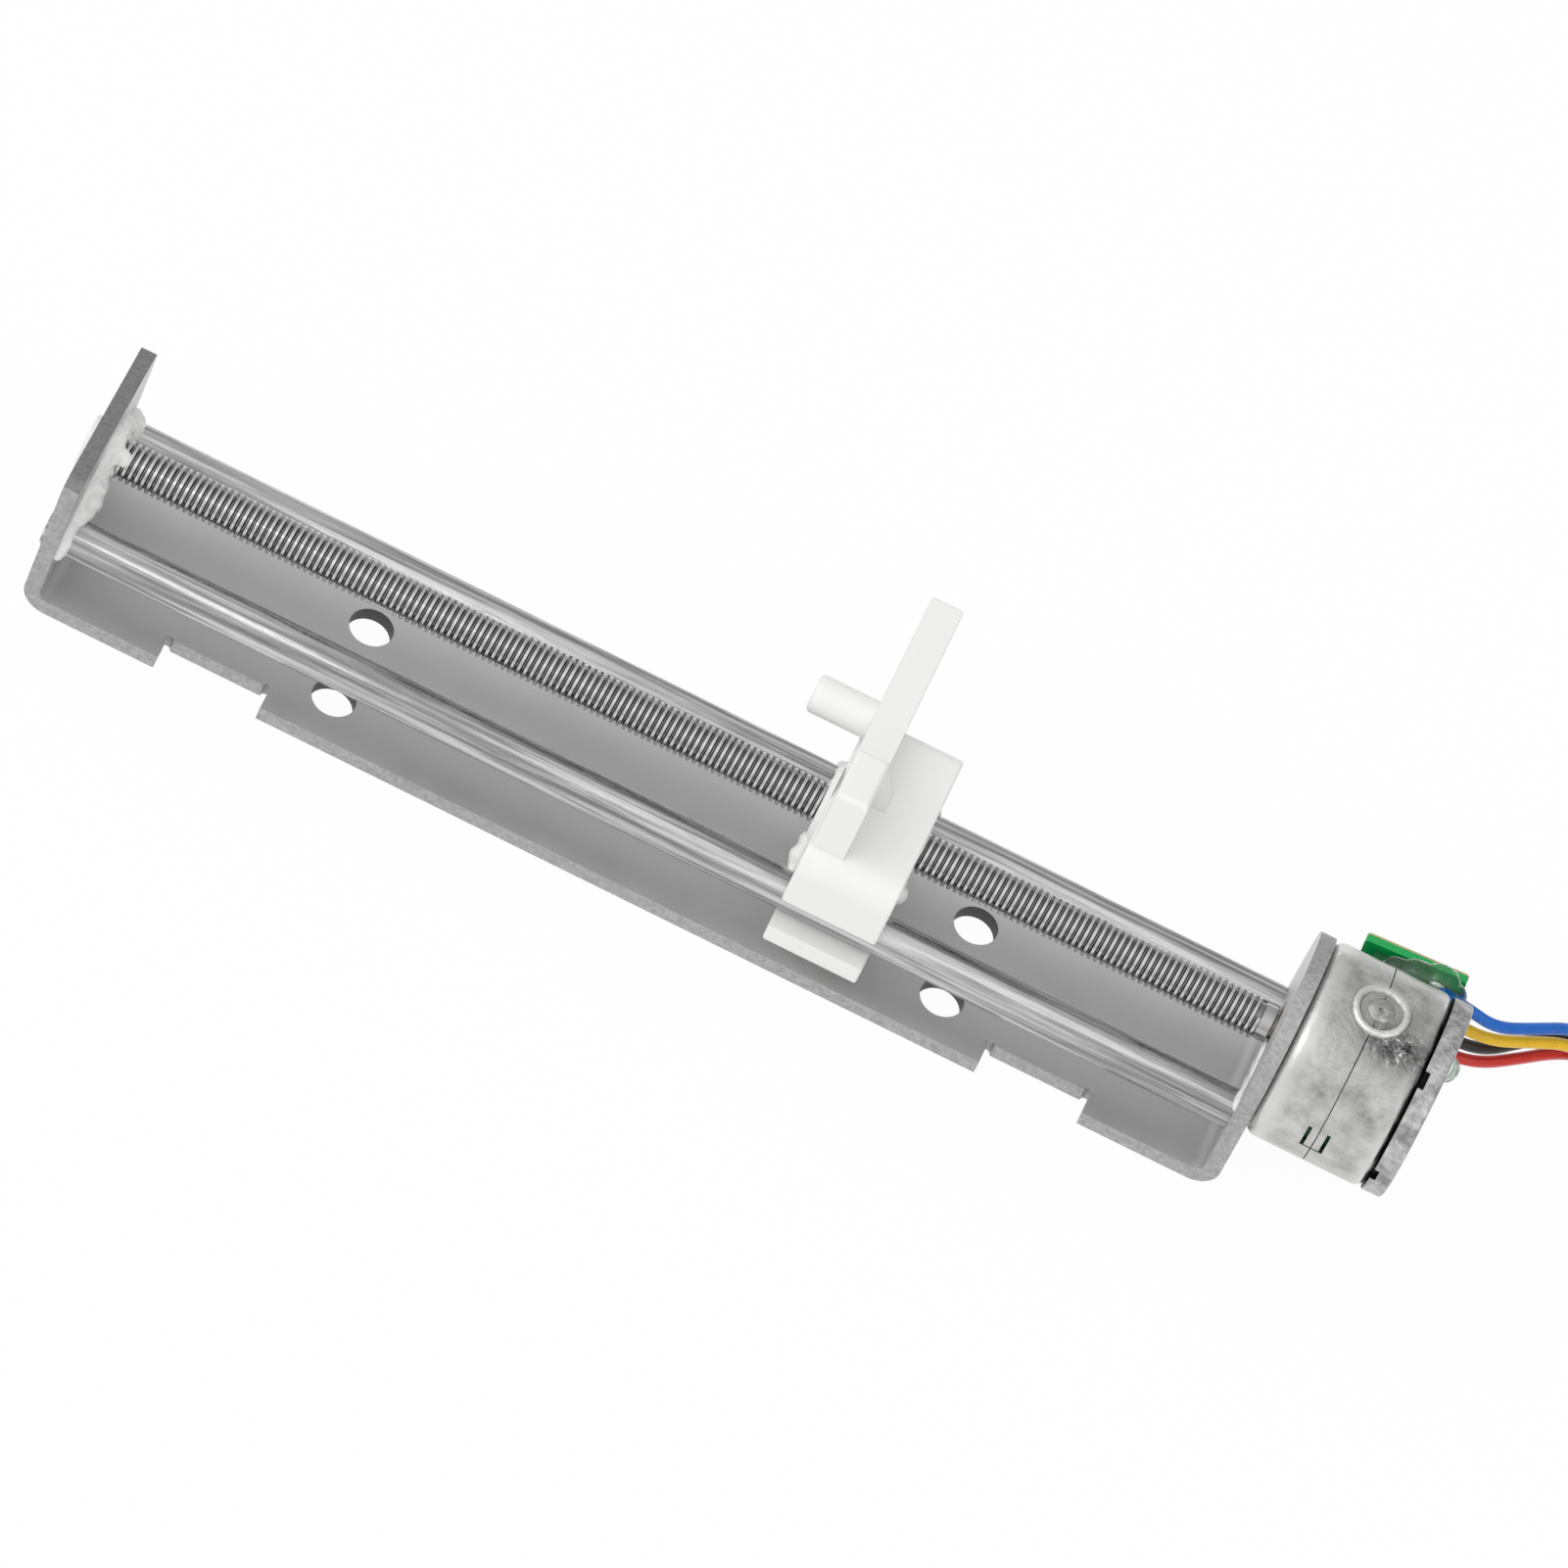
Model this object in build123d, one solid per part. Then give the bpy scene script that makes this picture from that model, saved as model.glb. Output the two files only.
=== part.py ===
from build123d import *

import math
import os

# Stepper motor linear slide. A can-stack stepper turns a long lead screw in a bent steel bracket,
# and a moulded slider rides on the screw and two guide rods.
# Millimetres. X runs along the slide towards the motor, Z is up, Y is across.
# The origin is the centre of the four mounting holes, on the underside of the bracket.

# Bracket
sheet = 1.2
bracket_length = 94.0
bracket_width = 15.0
bend_inner_radius = 0.8
end_plate_height = 13.95
end_plate_corner = 1.2
hole_pitch_x = 48.0
hole_pitch_y = 7.3
hole_radius = 1.65
notch_start = 28.3
notch_length = 8.1
notch_depth = 2.0
relief_radius = 0.35
relief_inset = 0.15

# Lead screw and guide rods
axis_z = 10.2
screw_radius = 1.49
nose_gap = 0.2
collar_length = 1.8
undercut_length = 0.4
undercut_radius = 1.2
journal_radius = 1.0
shaft_setback = 0.3
rod_radius = 1.5
rod_inset = 2.35
rod_z = 6.25
rod_overhang = 0.3
rod_setback = 0.1
press_gap = 0.01
running_gap = 0.04
axial_play = 0.2
tip_chamfer = 0.2

# End bush in the plate away from the motor
bush_body_radius = 1.75
bush_head_radius = 2.1
bush_head = 0.5
bush_nose = 0.4
bush_floor = 0.25

# Motor can
can_radius = 7.5
cup_length = 4.65
cup_wall = 0.6
cup_rim_radius = 0.9
seam_gap = 0.08
rear_plate_thickness = 1.5
rear_plate_edge = 0.25
stake_notch_width = 1.3
stake_notch_depth = 0.4
stake_notch_angles = (-6.0, 60.0)

# Stator
poles = 5
claw_inner_radius = 2.9
claw_thickness = 0.5
claw_base_width = 1.7
claw_tip_width = 0.9
claw_tip_gap = 0.15
pole_plate_thickness = 0.5
pole_plate_gap = 0.05
bobbin_tube = 0.3
bobbin_flange = 0.3
bobbin_gap = 0.05
bobbin_rim_gap = 0.15
coil_gap = 0.05
coil_depth = 0.35
terminal_block_width = 4.8
terminal_block_length = 1.1
terminal_window_gap = 0.1

# Rotor
air_gap = 0.2
hub_radius = 1.7
magnet_length = 6.9
magnet_chamfer = 0.15
thrust_washer = 0.25
thrust_washer_radius = 1.65

# Bearings
bearing_radius = 2.0
bearing_flange_radius = 2.5
bearing_flange = 0.5
rear_bearing_depth = 0.45
bearing_gap = 0.03
preload_spring_thickness = 0.15

# Wiring board behind the can, with its pins and solder
board_length = 7.8
board_height = 8.2
board_thickness = 0.8
board_standoff = 1.0
board_offset_x = 1.55
board_drop = 0.9
board_tilt = 4.5
board_corner = 0.3
pin_radius = 0.22
pin_hole_gap = 0.1
pin_pitch = 2.8
pin_root = 1.4
pin_overhang = 0.55
solder_radius = 0.7
solder_height = 0.4

# Lock tab slots on the near side of the can
tab_span = 1.45
tab_slot_width = 0.28
tab_foot_width = 0.16
tab_height = 2.3
tab_z_offset = -0.25

# Slider
slider_x = 10.65
slider_length = 7.35
slider_half_width = 7.5
slider_bottom = 3.05
slider_top = 13.2
slider_front_round = 2.1
slider_back_round = 1.5
slider_edge = 0.2
slider_gap = 0.05
pocket_half_width = 2.3
pocket_wall = 1.2
pocket_round = 0.9
arm_inset = 0.2
arm_width = 2.5
arm_height = 2.9
arm_reach = 16.75
arm_corner = 0.35
lug_front = -6.15
lug_back = -1.45
lug_height = 6.1
peg_radius = 1.45
peg_length = 4.6
peg_y = 5.18
peg_tip_round = 0.4
boss_radius = 2.7
boss_foot_radius = 3.3
boss_height = 0.45
gusset_foot = 1.25
gusset_front = -0.7
gusset_depth = 1.9

# Leads
lead_radius = 0.45
lead_length = 80.0
lead_start_x = 55.2
lead_y = 8.05
coil_x = 81.0
coil_y = 10.0
coil_lane_radius = 4.6
lead_spacing = 0.95
coil_lift = 0.2
leads_in_lane = 2
stub_x = 76.0
tie_thickness = 0.2
tie_width = 1.6
arc_share = 0.45

half_length = bracket_length / 2
plate_inner = half_length - sheet
rod_y = bracket_width / 2 - rod_inset
seam_x = half_length + cup_length
can_end = half_length + 2 * cup_length
motor_end = can_end + rear_plate_thickness
shaft_end = motor_end - shaft_setback
bush_end = -plate_inner + bush_nose
thread_start = bush_end + nose_gap
collar_end = plate_inner - axial_play
collar_start = collar_end - collar_length
thread_end = collar_start - undercut_length
board_y = can_radius + board_standoff
board_centre_x = seam_x + board_offset_x
board_centre_z = axis_z - board_drop
claw_outer_radius = claw_inner_radius + claw_thickness
cup_inner_radius = can_radius - cup_wall
slider_end = slider_x + slider_length
low_lead_z = coil_lift + lead_radius
high_lead_z = low_lead_z + lead_spacing
inner_lane_y = coil_y + coil_lane_radius
outer_lane_y = inner_lane_y + lead_spacing

# Each lead's route from its solder pad to the tied coil, as points on its centre line.
lead_routes = {
    "lead_blue": [
        (lead_start_x, lead_y, 12.2),
        (57.6, lead_y, 11.8),
        (60.1, 8.3, 10.9),
        (62.6, 10.4, 10.1),
        (65.4, 13.4, 8.7),
        (68.4, 15.4, 6.2),
        (71.2, 15.8, 3.5),
        (73.6, outer_lane_y, high_lead_z),
        (stub_x, outer_lane_y, high_lead_z),
    ],
    "lead_yellow": [
        (lead_start_x, lead_y, 9.9),
        (57.7, lead_y, 9.6),
        (60.3, 8.5, 9.2),
        (63.0, 10.6, 8.5),
        (65.8, 13.2, 7.2),
        (68.6, 14.5, 5.1),
        (71.2, 14.7, 3.0),
        (73.6, inner_lane_y, high_lead_z),
        (stub_x, inner_lane_y, high_lead_z),
    ],
    "lead_black": [
        (lead_start_x, lead_y, 8.1),
        (57.7, lead_y, 7.9),
        (60.2, 8.9, 7.4),
        (62.4, 11.6, 6.6),
        (64.8, 15.0, 5.5),
        (67.6, 16.2, 4.2),
        (70.6, 15.2, 2.1),
        (73.4, inner_lane_y, low_lead_z),
        (stub_x, inner_lane_y, low_lead_z),
    ],
    "lead_red": [
        (lead_start_x, lead_y, 6.3),
        (57.8, lead_y, 6.2),
        (60.4, 8.9, 5.9),
        (62.9, 11.4, 5.3),
        (65.4, 14.5, 4.2),
        (68.0, 16.8, 2.7),
        (70.8, 16.9, 1.2),
        (73.5, outer_lane_y, low_lead_z),
        (stub_x, outer_lane_y, low_lead_z),
    ],
}


def rod_x(radius, start, end, y=0.0, z=0.0):
    """A round bar along X."""
    return Pos((start + end) / 2, y, z) * Rot(0, 90, 0) * Cylinder(radius, end - start)


def block(x0, x1, y0, y1, z0, z1):
    """A rectangular block between two corners."""
    return Pos((x0 + x1) / 2, (y0 + y1) / 2, (z0 + z1) / 2) * Box(x1 - x0, y1 - y0, z1 - z0)


def turned(points, rounds=()):
    """A part turned about the screw axis from (x, radius) points, with some corners rounded."""
    face = make_face(Plane.XZ * Polyline(*points, close=True))
    for (x, radius), size in rounds:
        near = face.vertices().sort_by_distance((x, 0, radius))[0]
        face = fillet(near, size)
    return Pos(0, 0, axis_z) * revolve(face, Axis.X)


def make_bracket():
    """Sheet steel bent up at both ends: a low plate at one end, a round-topped one at the motor."""
    tall = axis_z + can_radius
    outer = Pos(0, tall / 2) * Rectangle(bracket_length, tall)
    outer = fillet(outer.vertices().group_by(Axis.Y)[0], sheet + bend_inner_radius)
    inner = Pos(0, sheet + tall / 2) * Rectangle(2 * plate_inner, tall)
    inner = fillet(inner.vertices().group_by(Axis.Y)[0], bend_inner_radius)
    strip = extrude(Plane.XZ * (outer - inner), bracket_width / 2, both=True)

    low_end = Pos(0, end_plate_height / 2) * Rectangle(bracket_width, end_plate_height)
    low_end = fillet(low_end.vertices().group_by(Axis.Y)[-1], end_plate_corner)
    motor_end_shape = Pos(0, axis_z / 2) * Rectangle(bracket_width, axis_z)
    motor_end_shape += Pos(0, axis_z) * Circle(bracket_width / 2)
    outline = extrude(Plane.YZ * low_end, -half_length)
    outline += extrude(Plane.YZ * motor_end_shape, half_length)
    body = strip & outline

    for x in (-hole_pitch_x / 2, hole_pitch_x / 2):
        for y in (-hole_pitch_y / 2, hole_pitch_y / 2):
            body -= Pos(x, y, 0) * Cylinder(hole_radius, 4 * sheet)
    for side in (-1, 1):
        body -= edge_notch(side)
    for y in (-rod_y, rod_y):
        body -= rod_x(rod_radius + press_gap, -bracket_length, bracket_length, y, rod_z)
    body -= rod_x(bearing_radius + press_gap, 0, bracket_length, 0, axis_z)
    body -= rod_x(bush_body_radius + press_gap, -bracket_length, 0, 0, axis_z)
    return body


def edge_notch(end):
    """A notch in the near edge of the base, with a round relief in each inner corner."""
    near_edge = -bracket_width / 2
    centre = end * (notch_start + notch_length / 2)
    cut = Pos(centre, near_edge, 0) * Box(notch_length, 2 * notch_depth, 4 * sheet)
    for side in (-1, 1):
        x = centre + side * (notch_length / 2 - relief_inset)
        cut += Pos(x, near_edge + notch_depth, 0) * Cylinder(relief_radius, 4 * sheet)
    return cut


def make_guide_rod(y):
    """A ground steel rod pressed into both end plates."""
    rod = rod_x(rod_radius, -half_length - rod_overhang, half_length - rod_setback, y, rod_z)
    return chamfer(rod.edges().filter_by(GeomType.CIRCLE), tip_chamfer)


def make_lead_screw():
    """The screw and the rotor shaft are one turned bar, with a plain collar at the motor end."""
    tip = -half_length - bush_head + bush_floor + axial_play
    return turned(
        [
            (tip, 0),
            (tip, journal_radius - tip_chamfer),
            (tip + tip_chamfer, journal_radius),
            (thread_start, journal_radius),
            (thread_start, screw_radius - tip_chamfer),
            (thread_start + tip_chamfer, screw_radius),
            (thread_end, screw_radius),
            (thread_end, undercut_radius),
            (collar_start, undercut_radius),
            (collar_start, screw_radius),
            (collar_end, screw_radius),
            (collar_end, journal_radius),
            (shaft_end - tip_chamfer, journal_radius),
            (shaft_end, journal_radius - tip_chamfer),
            (shaft_end, 0),
        ]
    )


def make_end_bush():
    """A moulded bush pressed into the low end plate from outside, with a blind bore."""
    head = -half_length - bush_head
    bore = journal_radius + running_gap
    return turned(
        [
            (head, 0),
            (head, bush_head_radius),
            (-half_length, bush_head_radius),
            (-half_length, bush_body_radius),
            (bush_end, bush_body_radius),
            (bush_end, bore),
            (head + bush_floor, bore),
            (head + bush_floor, 0),
        ],
        [((head, bush_head_radius), bush_head / 3)],
    )


def claw_gaps(start, end, turn):
    """The spaces between the tapered claws that run along X from start to end."""
    beyond = end + math.copysign(claw_tip_gap, end - start)
    gaps = rod_x(2 * claw_inner_radius, min(start, beyond), max(start, beyond))
    outline = Polyline(
        (start, -claw_base_width / 2),
        (start, claw_base_width / 2),
        (end, claw_tip_width / 2),
        (beyond, claw_tip_width / 2),
        (beyond, -claw_tip_width / 2),
        (end, -claw_tip_width / 2),
        close=True,
    )
    finger = extrude(make_face(outline), 3 * claw_inner_radius, dir=(0, 0, 1))
    for n in range(poles):
        gaps -= Rot(turn + n * 360 / poles, 0, 0) * finger
    return Pos(0, 0, axis_z) * gaps


def at_motor_half(part, rear):
    """Front half parts are modelled once, and the rear half is their mirror about the seam."""
    if rear:
        return mirror(part, Plane.YZ.offset(seam_x))
    return part


def make_stator_cup(rear):
    """A drawn steel cup: rounded rim, side wall, claws bent in from its open centre."""
    front = half_length
    floor = front + cup_wall
    rim = seam_x - seam_gap / 2
    tip = seam_x - pole_plate_thickness - claw_tip_gap
    body = turned(
        [
            (front, claw_inner_radius),
            (front, can_radius),
            (rim, can_radius),
            (rim, cup_inner_radius),
            (floor, cup_inner_radius),
            (floor, claw_outer_radius),
            (tip, claw_outer_radius),
            (tip, claw_inner_radius),
        ],
        [
            ((front, can_radius), cup_rim_radius),
            ((floor, cup_inner_radius), cup_rim_radius - cup_wall),
        ],
    )
    body -= claw_gaps(floor, tip, 0)
    body -= terminal_window()
    body -= lock_slot()
    return at_motor_half(body, rear)


def terminal_window():
    """The opening on the far side of each cup that the terminal block comes out through."""
    half = terminal_block_width / 2 + terminal_window_gap
    length = pole_plate_thickness + bobbin_gap + terminal_block_length + terminal_window_gap
    return block(seam_x - length, seam_x, can_radius / 2, 2 * can_radius, axis_z - half, axis_z + half)


def lock_slot():
    """One slot of the lock tab on the near side, beside the seam."""
    middle = axis_z + tab_z_offset
    x = seam_x - tab_span / 2
    slot = block(
        x - tab_slot_width / 2,
        x + tab_slot_width / 2,
        -2 * can_radius,
        -cup_inner_radius + cup_wall,
        middle - tab_height / 2,
        middle + tab_height / 2,
    )
    foot = middle - tab_height / 2
    slot += block(x, seam_x, -2 * can_radius, -cup_inner_radius + cup_wall, foot, foot + tab_foot_width)
    return slot


def make_pole_plate(rear):
    """The inner pole plate of one half, whose claws mesh with those of its cup."""
    face = seam_x - pole_plate_thickness
    edge = cup_inner_radius - pole_plate_gap
    tip = half_length + cup_wall + claw_tip_gap
    body = turned(
        [
            (tip, claw_inner_radius),
            (tip, claw_outer_radius),
            (face, claw_outer_radius),
            (face, edge),
            (seam_x, edge),
            (seam_x, claw_inner_radius),
        ]
    )
    body -= claw_gaps(face, tip, 180 / poles)
    return at_motor_half(body, rear)


def bobbin_span():
    """The two ends of the front bobbin along X."""
    start = half_length + cup_wall + bobbin_gap
    return start, seam_x - pole_plate_thickness - bobbin_gap


def make_bobbin(rear):
    """A moulded spool around the claws, with its terminal block on the far side."""
    start, end = bobbin_span()
    inner = claw_outer_radius + bobbin_gap
    tube = inner + bobbin_tube
    rim = cup_inner_radius - bobbin_rim_gap
    body = turned(
        [
            (start, inner),
            (start, rim),
            (start + bobbin_flange, rim),
            (start + bobbin_flange, tube),
            (end - bobbin_flange, tube),
            (end - bobbin_flange, rim),
            (end, rim),
            (end, inner),
        ],
        [((start, rim), bobbin_flange / 3)],
    )
    half = terminal_block_width / 2
    root = math.sqrt(rim**2 - half**2) - bobbin_flange
    body += block(end - terminal_block_length, end, root, board_y, axis_z - half, axis_z + half)
    for pin in pins_of_half(pin_radius):
        body -= pin
    return at_motor_half(body, rear)


def make_winding(rear):
    """The copper winding that fills one bobbin."""
    start, end = bobbin_span()
    first = start + bobbin_flange + coil_gap
    last = end - bobbin_flange - coil_gap
    inner = claw_outer_radius + bobbin_gap + bobbin_tube + coil_gap
    outer = cup_inner_radius - bobbin_rim_gap - coil_depth
    block_clear = board_y - 2 * pin_root
    body = turned([(first, inner), (first, outer), (last, outer), (last, inner)])
    half = terminal_block_width / 2 + coil_gap
    body -= block(first - 1, last + 1, block_clear, 2 * can_radius, axis_z - half, axis_z + half)
    return at_motor_half(body, rear)


def pins_of_half(radius):
    """The two terminal pins of the front half, along Y through the board."""
    x = seam_x - pole_plate_thickness - bobbin_gap - terminal_block_length / 2
    start = board_y - pin_root
    end = board_y + board_thickness + pin_overhang
    middle = (start + end) / 2
    return [
        Pos(x, middle, axis_z + side * pin_pitch / 2) * Rot(90, 0, 0) * Cylinder(radius, end - start)
        for side in (-1, 1)
    ]


def all_pins(radius):
    """All four pins, or the holes for them."""
    front = pins_of_half(radius)
    return front + [at_motor_half(pin, True) for pin in front]


def make_wiring_board():
    """The small circuit board behind the can, set a little askew on its pins."""
    plate = RectangleRounded(board_length, board_height, board_corner)
    middle = board_y + board_thickness / 2
    board = extrude(Plane.XZ * plate, board_thickness / 2, both=True)
    board = Pos(board_centre_x, middle, board_centre_z) * Rot(0, -board_tilt, 0) * board
    for hole in all_pins(pin_radius + pin_hole_gap):
        board -= hole
    return board


def make_solder_joints():
    """A solder dome round each pin on the outer face of the board."""
    face = board_y + board_thickness
    ball = (solder_radius**2 + solder_height**2) / (2 * solder_height)
    above = block(0, 2 * half_length, face, 2 * board_y, 0, 2 * axis_z)
    domes = []
    for pin in all_pins(pin_radius):
        centre = pin.center()
        dome = Pos(centre.X, face + solder_height - ball, centre.Z) * Sphere(ball)
        domes.append((dome & above) - pin)
    return domes


def make_rear_plate():
    """The thick steel end disc of the motor, with two stake notches in its front edge."""
    front = can_end
    body = turned(
        [
            (front, bearing_radius + press_gap),
            (front, can_radius),
            (motor_end, can_radius),
            (motor_end, bearing_radius + press_gap),
        ],
        [((motor_end, can_radius), rear_plate_edge)],
    )
    for angle in stake_notch_angles:
        notch = Pos(front, -can_radius, 0) * Box(
            2 * stake_notch_depth, 2 * stake_notch_depth, stake_notch_width
        )
        body -= Pos(0, 0, axis_z) * Rot(-angle, 0, 0) * notch
    return body


def make_front_bearing():
    """A sintered bush through the motor-end plate, with a flange inside the can."""
    bore = journal_radius + bearing_gap
    return turned(
        [
            (plate_inner, bore),
            (plate_inner, bearing_radius),
            (half_length, bearing_radius),
            (half_length, bearing_flange_radius),
            (half_length + bearing_flange, bearing_flange_radius),
            (half_length + bearing_flange, bore),
        ]
    )


def rear_bearing_front():
    """Where the rear bearing starts, inside the can."""
    return can_end - rear_bearing_depth


def make_rear_bearing():
    """A sintered bush in the rear plate."""
    bore = journal_radius + bearing_gap
    front = rear_bearing_front()
    return turned(
        [(front, bore), (front, bearing_radius), (motor_end, bearing_radius), (motor_end, bore)]
    )


def magnet_start():
    """The rotor sits behind the front bearing flange and its thrust washer."""
    return half_length + bearing_flange + 2 * thrust_washer


def make_rotor_magnet():
    """The ring magnet of the rotor."""
    start = magnet_start()
    end = start + magnet_length
    radius = claw_inner_radius - air_gap
    return turned(
        [
            (start, hub_radius + press_gap),
            (start, radius - magnet_chamfer),
            (start + magnet_chamfer, radius),
            (end - magnet_chamfer, radius),
            (end, radius - magnet_chamfer),
            (end, hub_radius + press_gap),
        ]
    )


def make_rotor_hub():
    """The plastic core that joins the magnet to the shaft."""
    start = magnet_start() - thrust_washer / 2
    end = magnet_start() + magnet_length + thrust_washer / 2
    bore = journal_radius + press_gap
    return turned([(start, bore), (start, hub_radius), (end, hub_radius), (end, bore)])


def make_thrust_washer(start):
    """A thin slippery washer on the shaft."""
    bore = journal_radius + running_gap
    end = start + thrust_washer
    return turned(
        [(start, bore), (start, thrust_washer_radius), (end, thrust_washer_radius), (end, bore)]
    )


def make_preload_spring():
    """A coned washer that pushes the rotor forward from the rear bearing."""
    big_end = rear_bearing_front()
    small_end = magnet_start() + magnet_length + 2 * thrust_washer
    bore = journal_radius + running_gap
    return turned(
        [
            (small_end, bore),
            (small_end, bore + preload_spring_thickness),
            (big_end, thrust_washer_radius),
            (big_end, thrust_washer_radius - preload_spring_thickness),
        ]
    )


def make_slider():
    """The moulded slider: fork on the near rod, bore on the far rod, nut, arm, lug and peg."""
    middle_z = (slider_bottom + slider_top) / 2
    height = slider_top - slider_bottom
    profile = Pos(0, middle_z) * Rectangle(2 * slider_half_width, height)
    top_corners = profile.vertices().group_by(Axis.Y)[-1].sort_by(Axis.X)
    profile = fillet(top_corners[0], slider_front_round)
    top_back = profile.vertices().sort_by_distance((slider_half_width, slider_top, 0))[0]
    profile = fillet(top_back, slider_back_round)
    slot_radius = rod_radius + slider_gap
    slot_depth = slider_half_width - rod_y
    slot = Pos(-rod_y - slot_depth, rod_z) * Rectangle(2 * slot_depth, 2 * slot_radius)
    slot += Pos(-rod_y, rod_z) * Circle(slot_radius)
    pocket_top = axis_z - screw_radius - slider_gap - pocket_wall
    pocket = Pos(0, pocket_top / 2) * Rectangle(2 * pocket_half_width, pocket_top)
    pocket = fillet(pocket.vertices().group_by(Axis.Y)[-1], pocket_round)
    profile = profile - slot - pocket
    body = extrude(Plane.YZ.offset(slider_x) * profile, slider_length)
    body = chamfer_sides(body)

    nut_boss = Pos(slider_x - boss_height / 2, 0, axis_z) * Rot(0, 90, 0) * Cone(
        boss_radius, boss_foot_radius, boss_height
    )
    body += nut_boss
    body += make_arm()
    body += make_peg()
    body += make_gusset()
    reach = slider_length + 4 * boss_height
    for radius, y, z in (
        (screw_radius + slider_gap, 0, axis_z),
        (rod_radius + slider_gap, rod_y, rod_z),
    ):
        body -= rod_x(radius, slider_x - reach, slider_end + reach, y, z)
    return body


def chamfer_sides(body):
    """Soft moulded edges round both sides of the slider block."""
    faces = body.faces().filter_by(Axis.X)
    return fillet(faces[0].outer_wire().edges() + faces[-1].outer_wire().edges(), slider_edge)


def make_arm():
    """The long flat arm across the slider, and the upright lug at its near end."""
    x0 = slider_x + arm_inset
    x1 = x0 + arm_width
    root = slider_top - slider_edge
    arm = block(x0, x1, lug_front, arm_reach, root, slider_top + arm_height)
    far_corners = arm.edges().filter_by(Axis.Z).group_by(Axis.Y)[-1]
    arm = fillet(far_corners, arm_corner)
    lug = block(x0, x1, lug_front, lug_back, root, slider_top + lug_height)
    lug = fillet(lug.edges().group_by(Axis.Z)[-1], arm_corner)
    return arm + lug


def make_peg():
    """The round peg that points away from the motor, level with the arm."""
    x1 = slider_x + arm_inset
    z = slider_top + arm_height / 2
    peg = rod_x(peg_radius, x1 - peg_length, x1 + arm_width / 2, peg_y, z)
    return fillet(peg.edges().sort_by(Axis.X)[0], peg_tip_round)


def make_gusset():
    """A small sloping web between the arm and the top of the block."""
    x1 = slider_x + arm_inset + arm_width
    shape = Polyline(
        (x1 - slider_edge, slider_top - slider_edge),
        (x1 + gusset_foot, slider_top - slider_edge),
        (x1 - slider_edge, slider_top + arm_height),
        close=True,
    )
    web = extrude(Plane.XZ * make_face(shape), -gusset_depth)
    return Pos(0, gusset_front, 0) * web


def corner_radii(points):
    """The arc at each bend of a lead, as large as its two runs allow."""
    vectors = [Vector(*p) for p in points]
    radii = []
    for before, here, after in zip(vectors, vectors[1:], vectors[2:]):
        into = here - before
        out = after - here
        turn = math.radians(into.get_angle(out))
        radii.append(arc_share * min(into.length, out.length) / math.tan(turn / 2))
    return radii


def make_lead(name):
    """One insulated lead along its route, as straight runs joined by arcs."""
    points = lead_routes[name]
    radii = corner_radii(points)
    path = FilletPolyline(*points, radius=radii)
    start = Plane(origin=path @ 0, z_dir=path % 0)
    tube = sweep(start * Circle(lead_radius), path=path)
    expected = math.pi * lead_radius**2 * path.length
    print(name, "length", round(path.length, 2), "volume share", round(tube.volume / expected, 4))
    print(name, "bend radii", [round(r, 1) for r in radii])
    print(name, "length left for the coil", round(lead_length - path.length, 2))
    return tube


def coil_top():
    """The top of the coil, which has as many layers as the longest spare length of lead needs."""
    routes = [Polyline(*points).length for points in lead_routes.values()]
    turns = (lead_length - min(routes)) / (2 * math.pi * coil_lane_radius)
    layers = leads_in_lane * math.ceil(turns)
    return coil_lift + (layers - 1) * lead_spacing + 2 * lead_radius


def make_lead_coil():
    """The outer shape of the four leads' tied coil, and the straight stub where they enter it."""
    inner = coil_lane_radius - lead_radius
    outer = coil_lane_radius + lead_spacing + lead_radius
    height = coil_top() - coil_lift
    ring = Pos(coil_x, coil_y, coil_lift + height / 2) * (
        Cylinder(outer, height) - Cylinder(inner, height)
    )
    y0 = inner_lane_y - lead_radius
    y1 = outer_lane_y + lead_radius
    stub = block(stub_x, coil_x, y0, y1, coil_lift, high_lead_z + lead_radius)
    return ring + stub


def make_lead_tie():
    """A flat band tied round the coil on the side away from the motor."""
    x0 = coil_x + coil_lane_radius - lead_radius
    x1 = coil_x + coil_lane_radius + lead_spacing + lead_radius
    z1 = coil_top()
    half = tie_width / 2
    outside = block(
        x0 - 2 * tie_thickness,
        x1 + tie_thickness,
        coil_y - half,
        coil_y + half,
        coil_lift - tie_thickness,
        z1 + tie_thickness,
    )
    gap_x0 = x0 - tie_thickness
    return outside - block(gap_x0, x1, coil_y - tie_width, coil_y + tie_width, coil_lift, z1)


def save(name, shape):
    """One STEP file for each piece, or for a group of like solids."""
    if isinstance(shape, list):
        shape = Compound(children=shape)
    shape.label = name
    export_step(shape, "parts/" + name + ".step")


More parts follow.
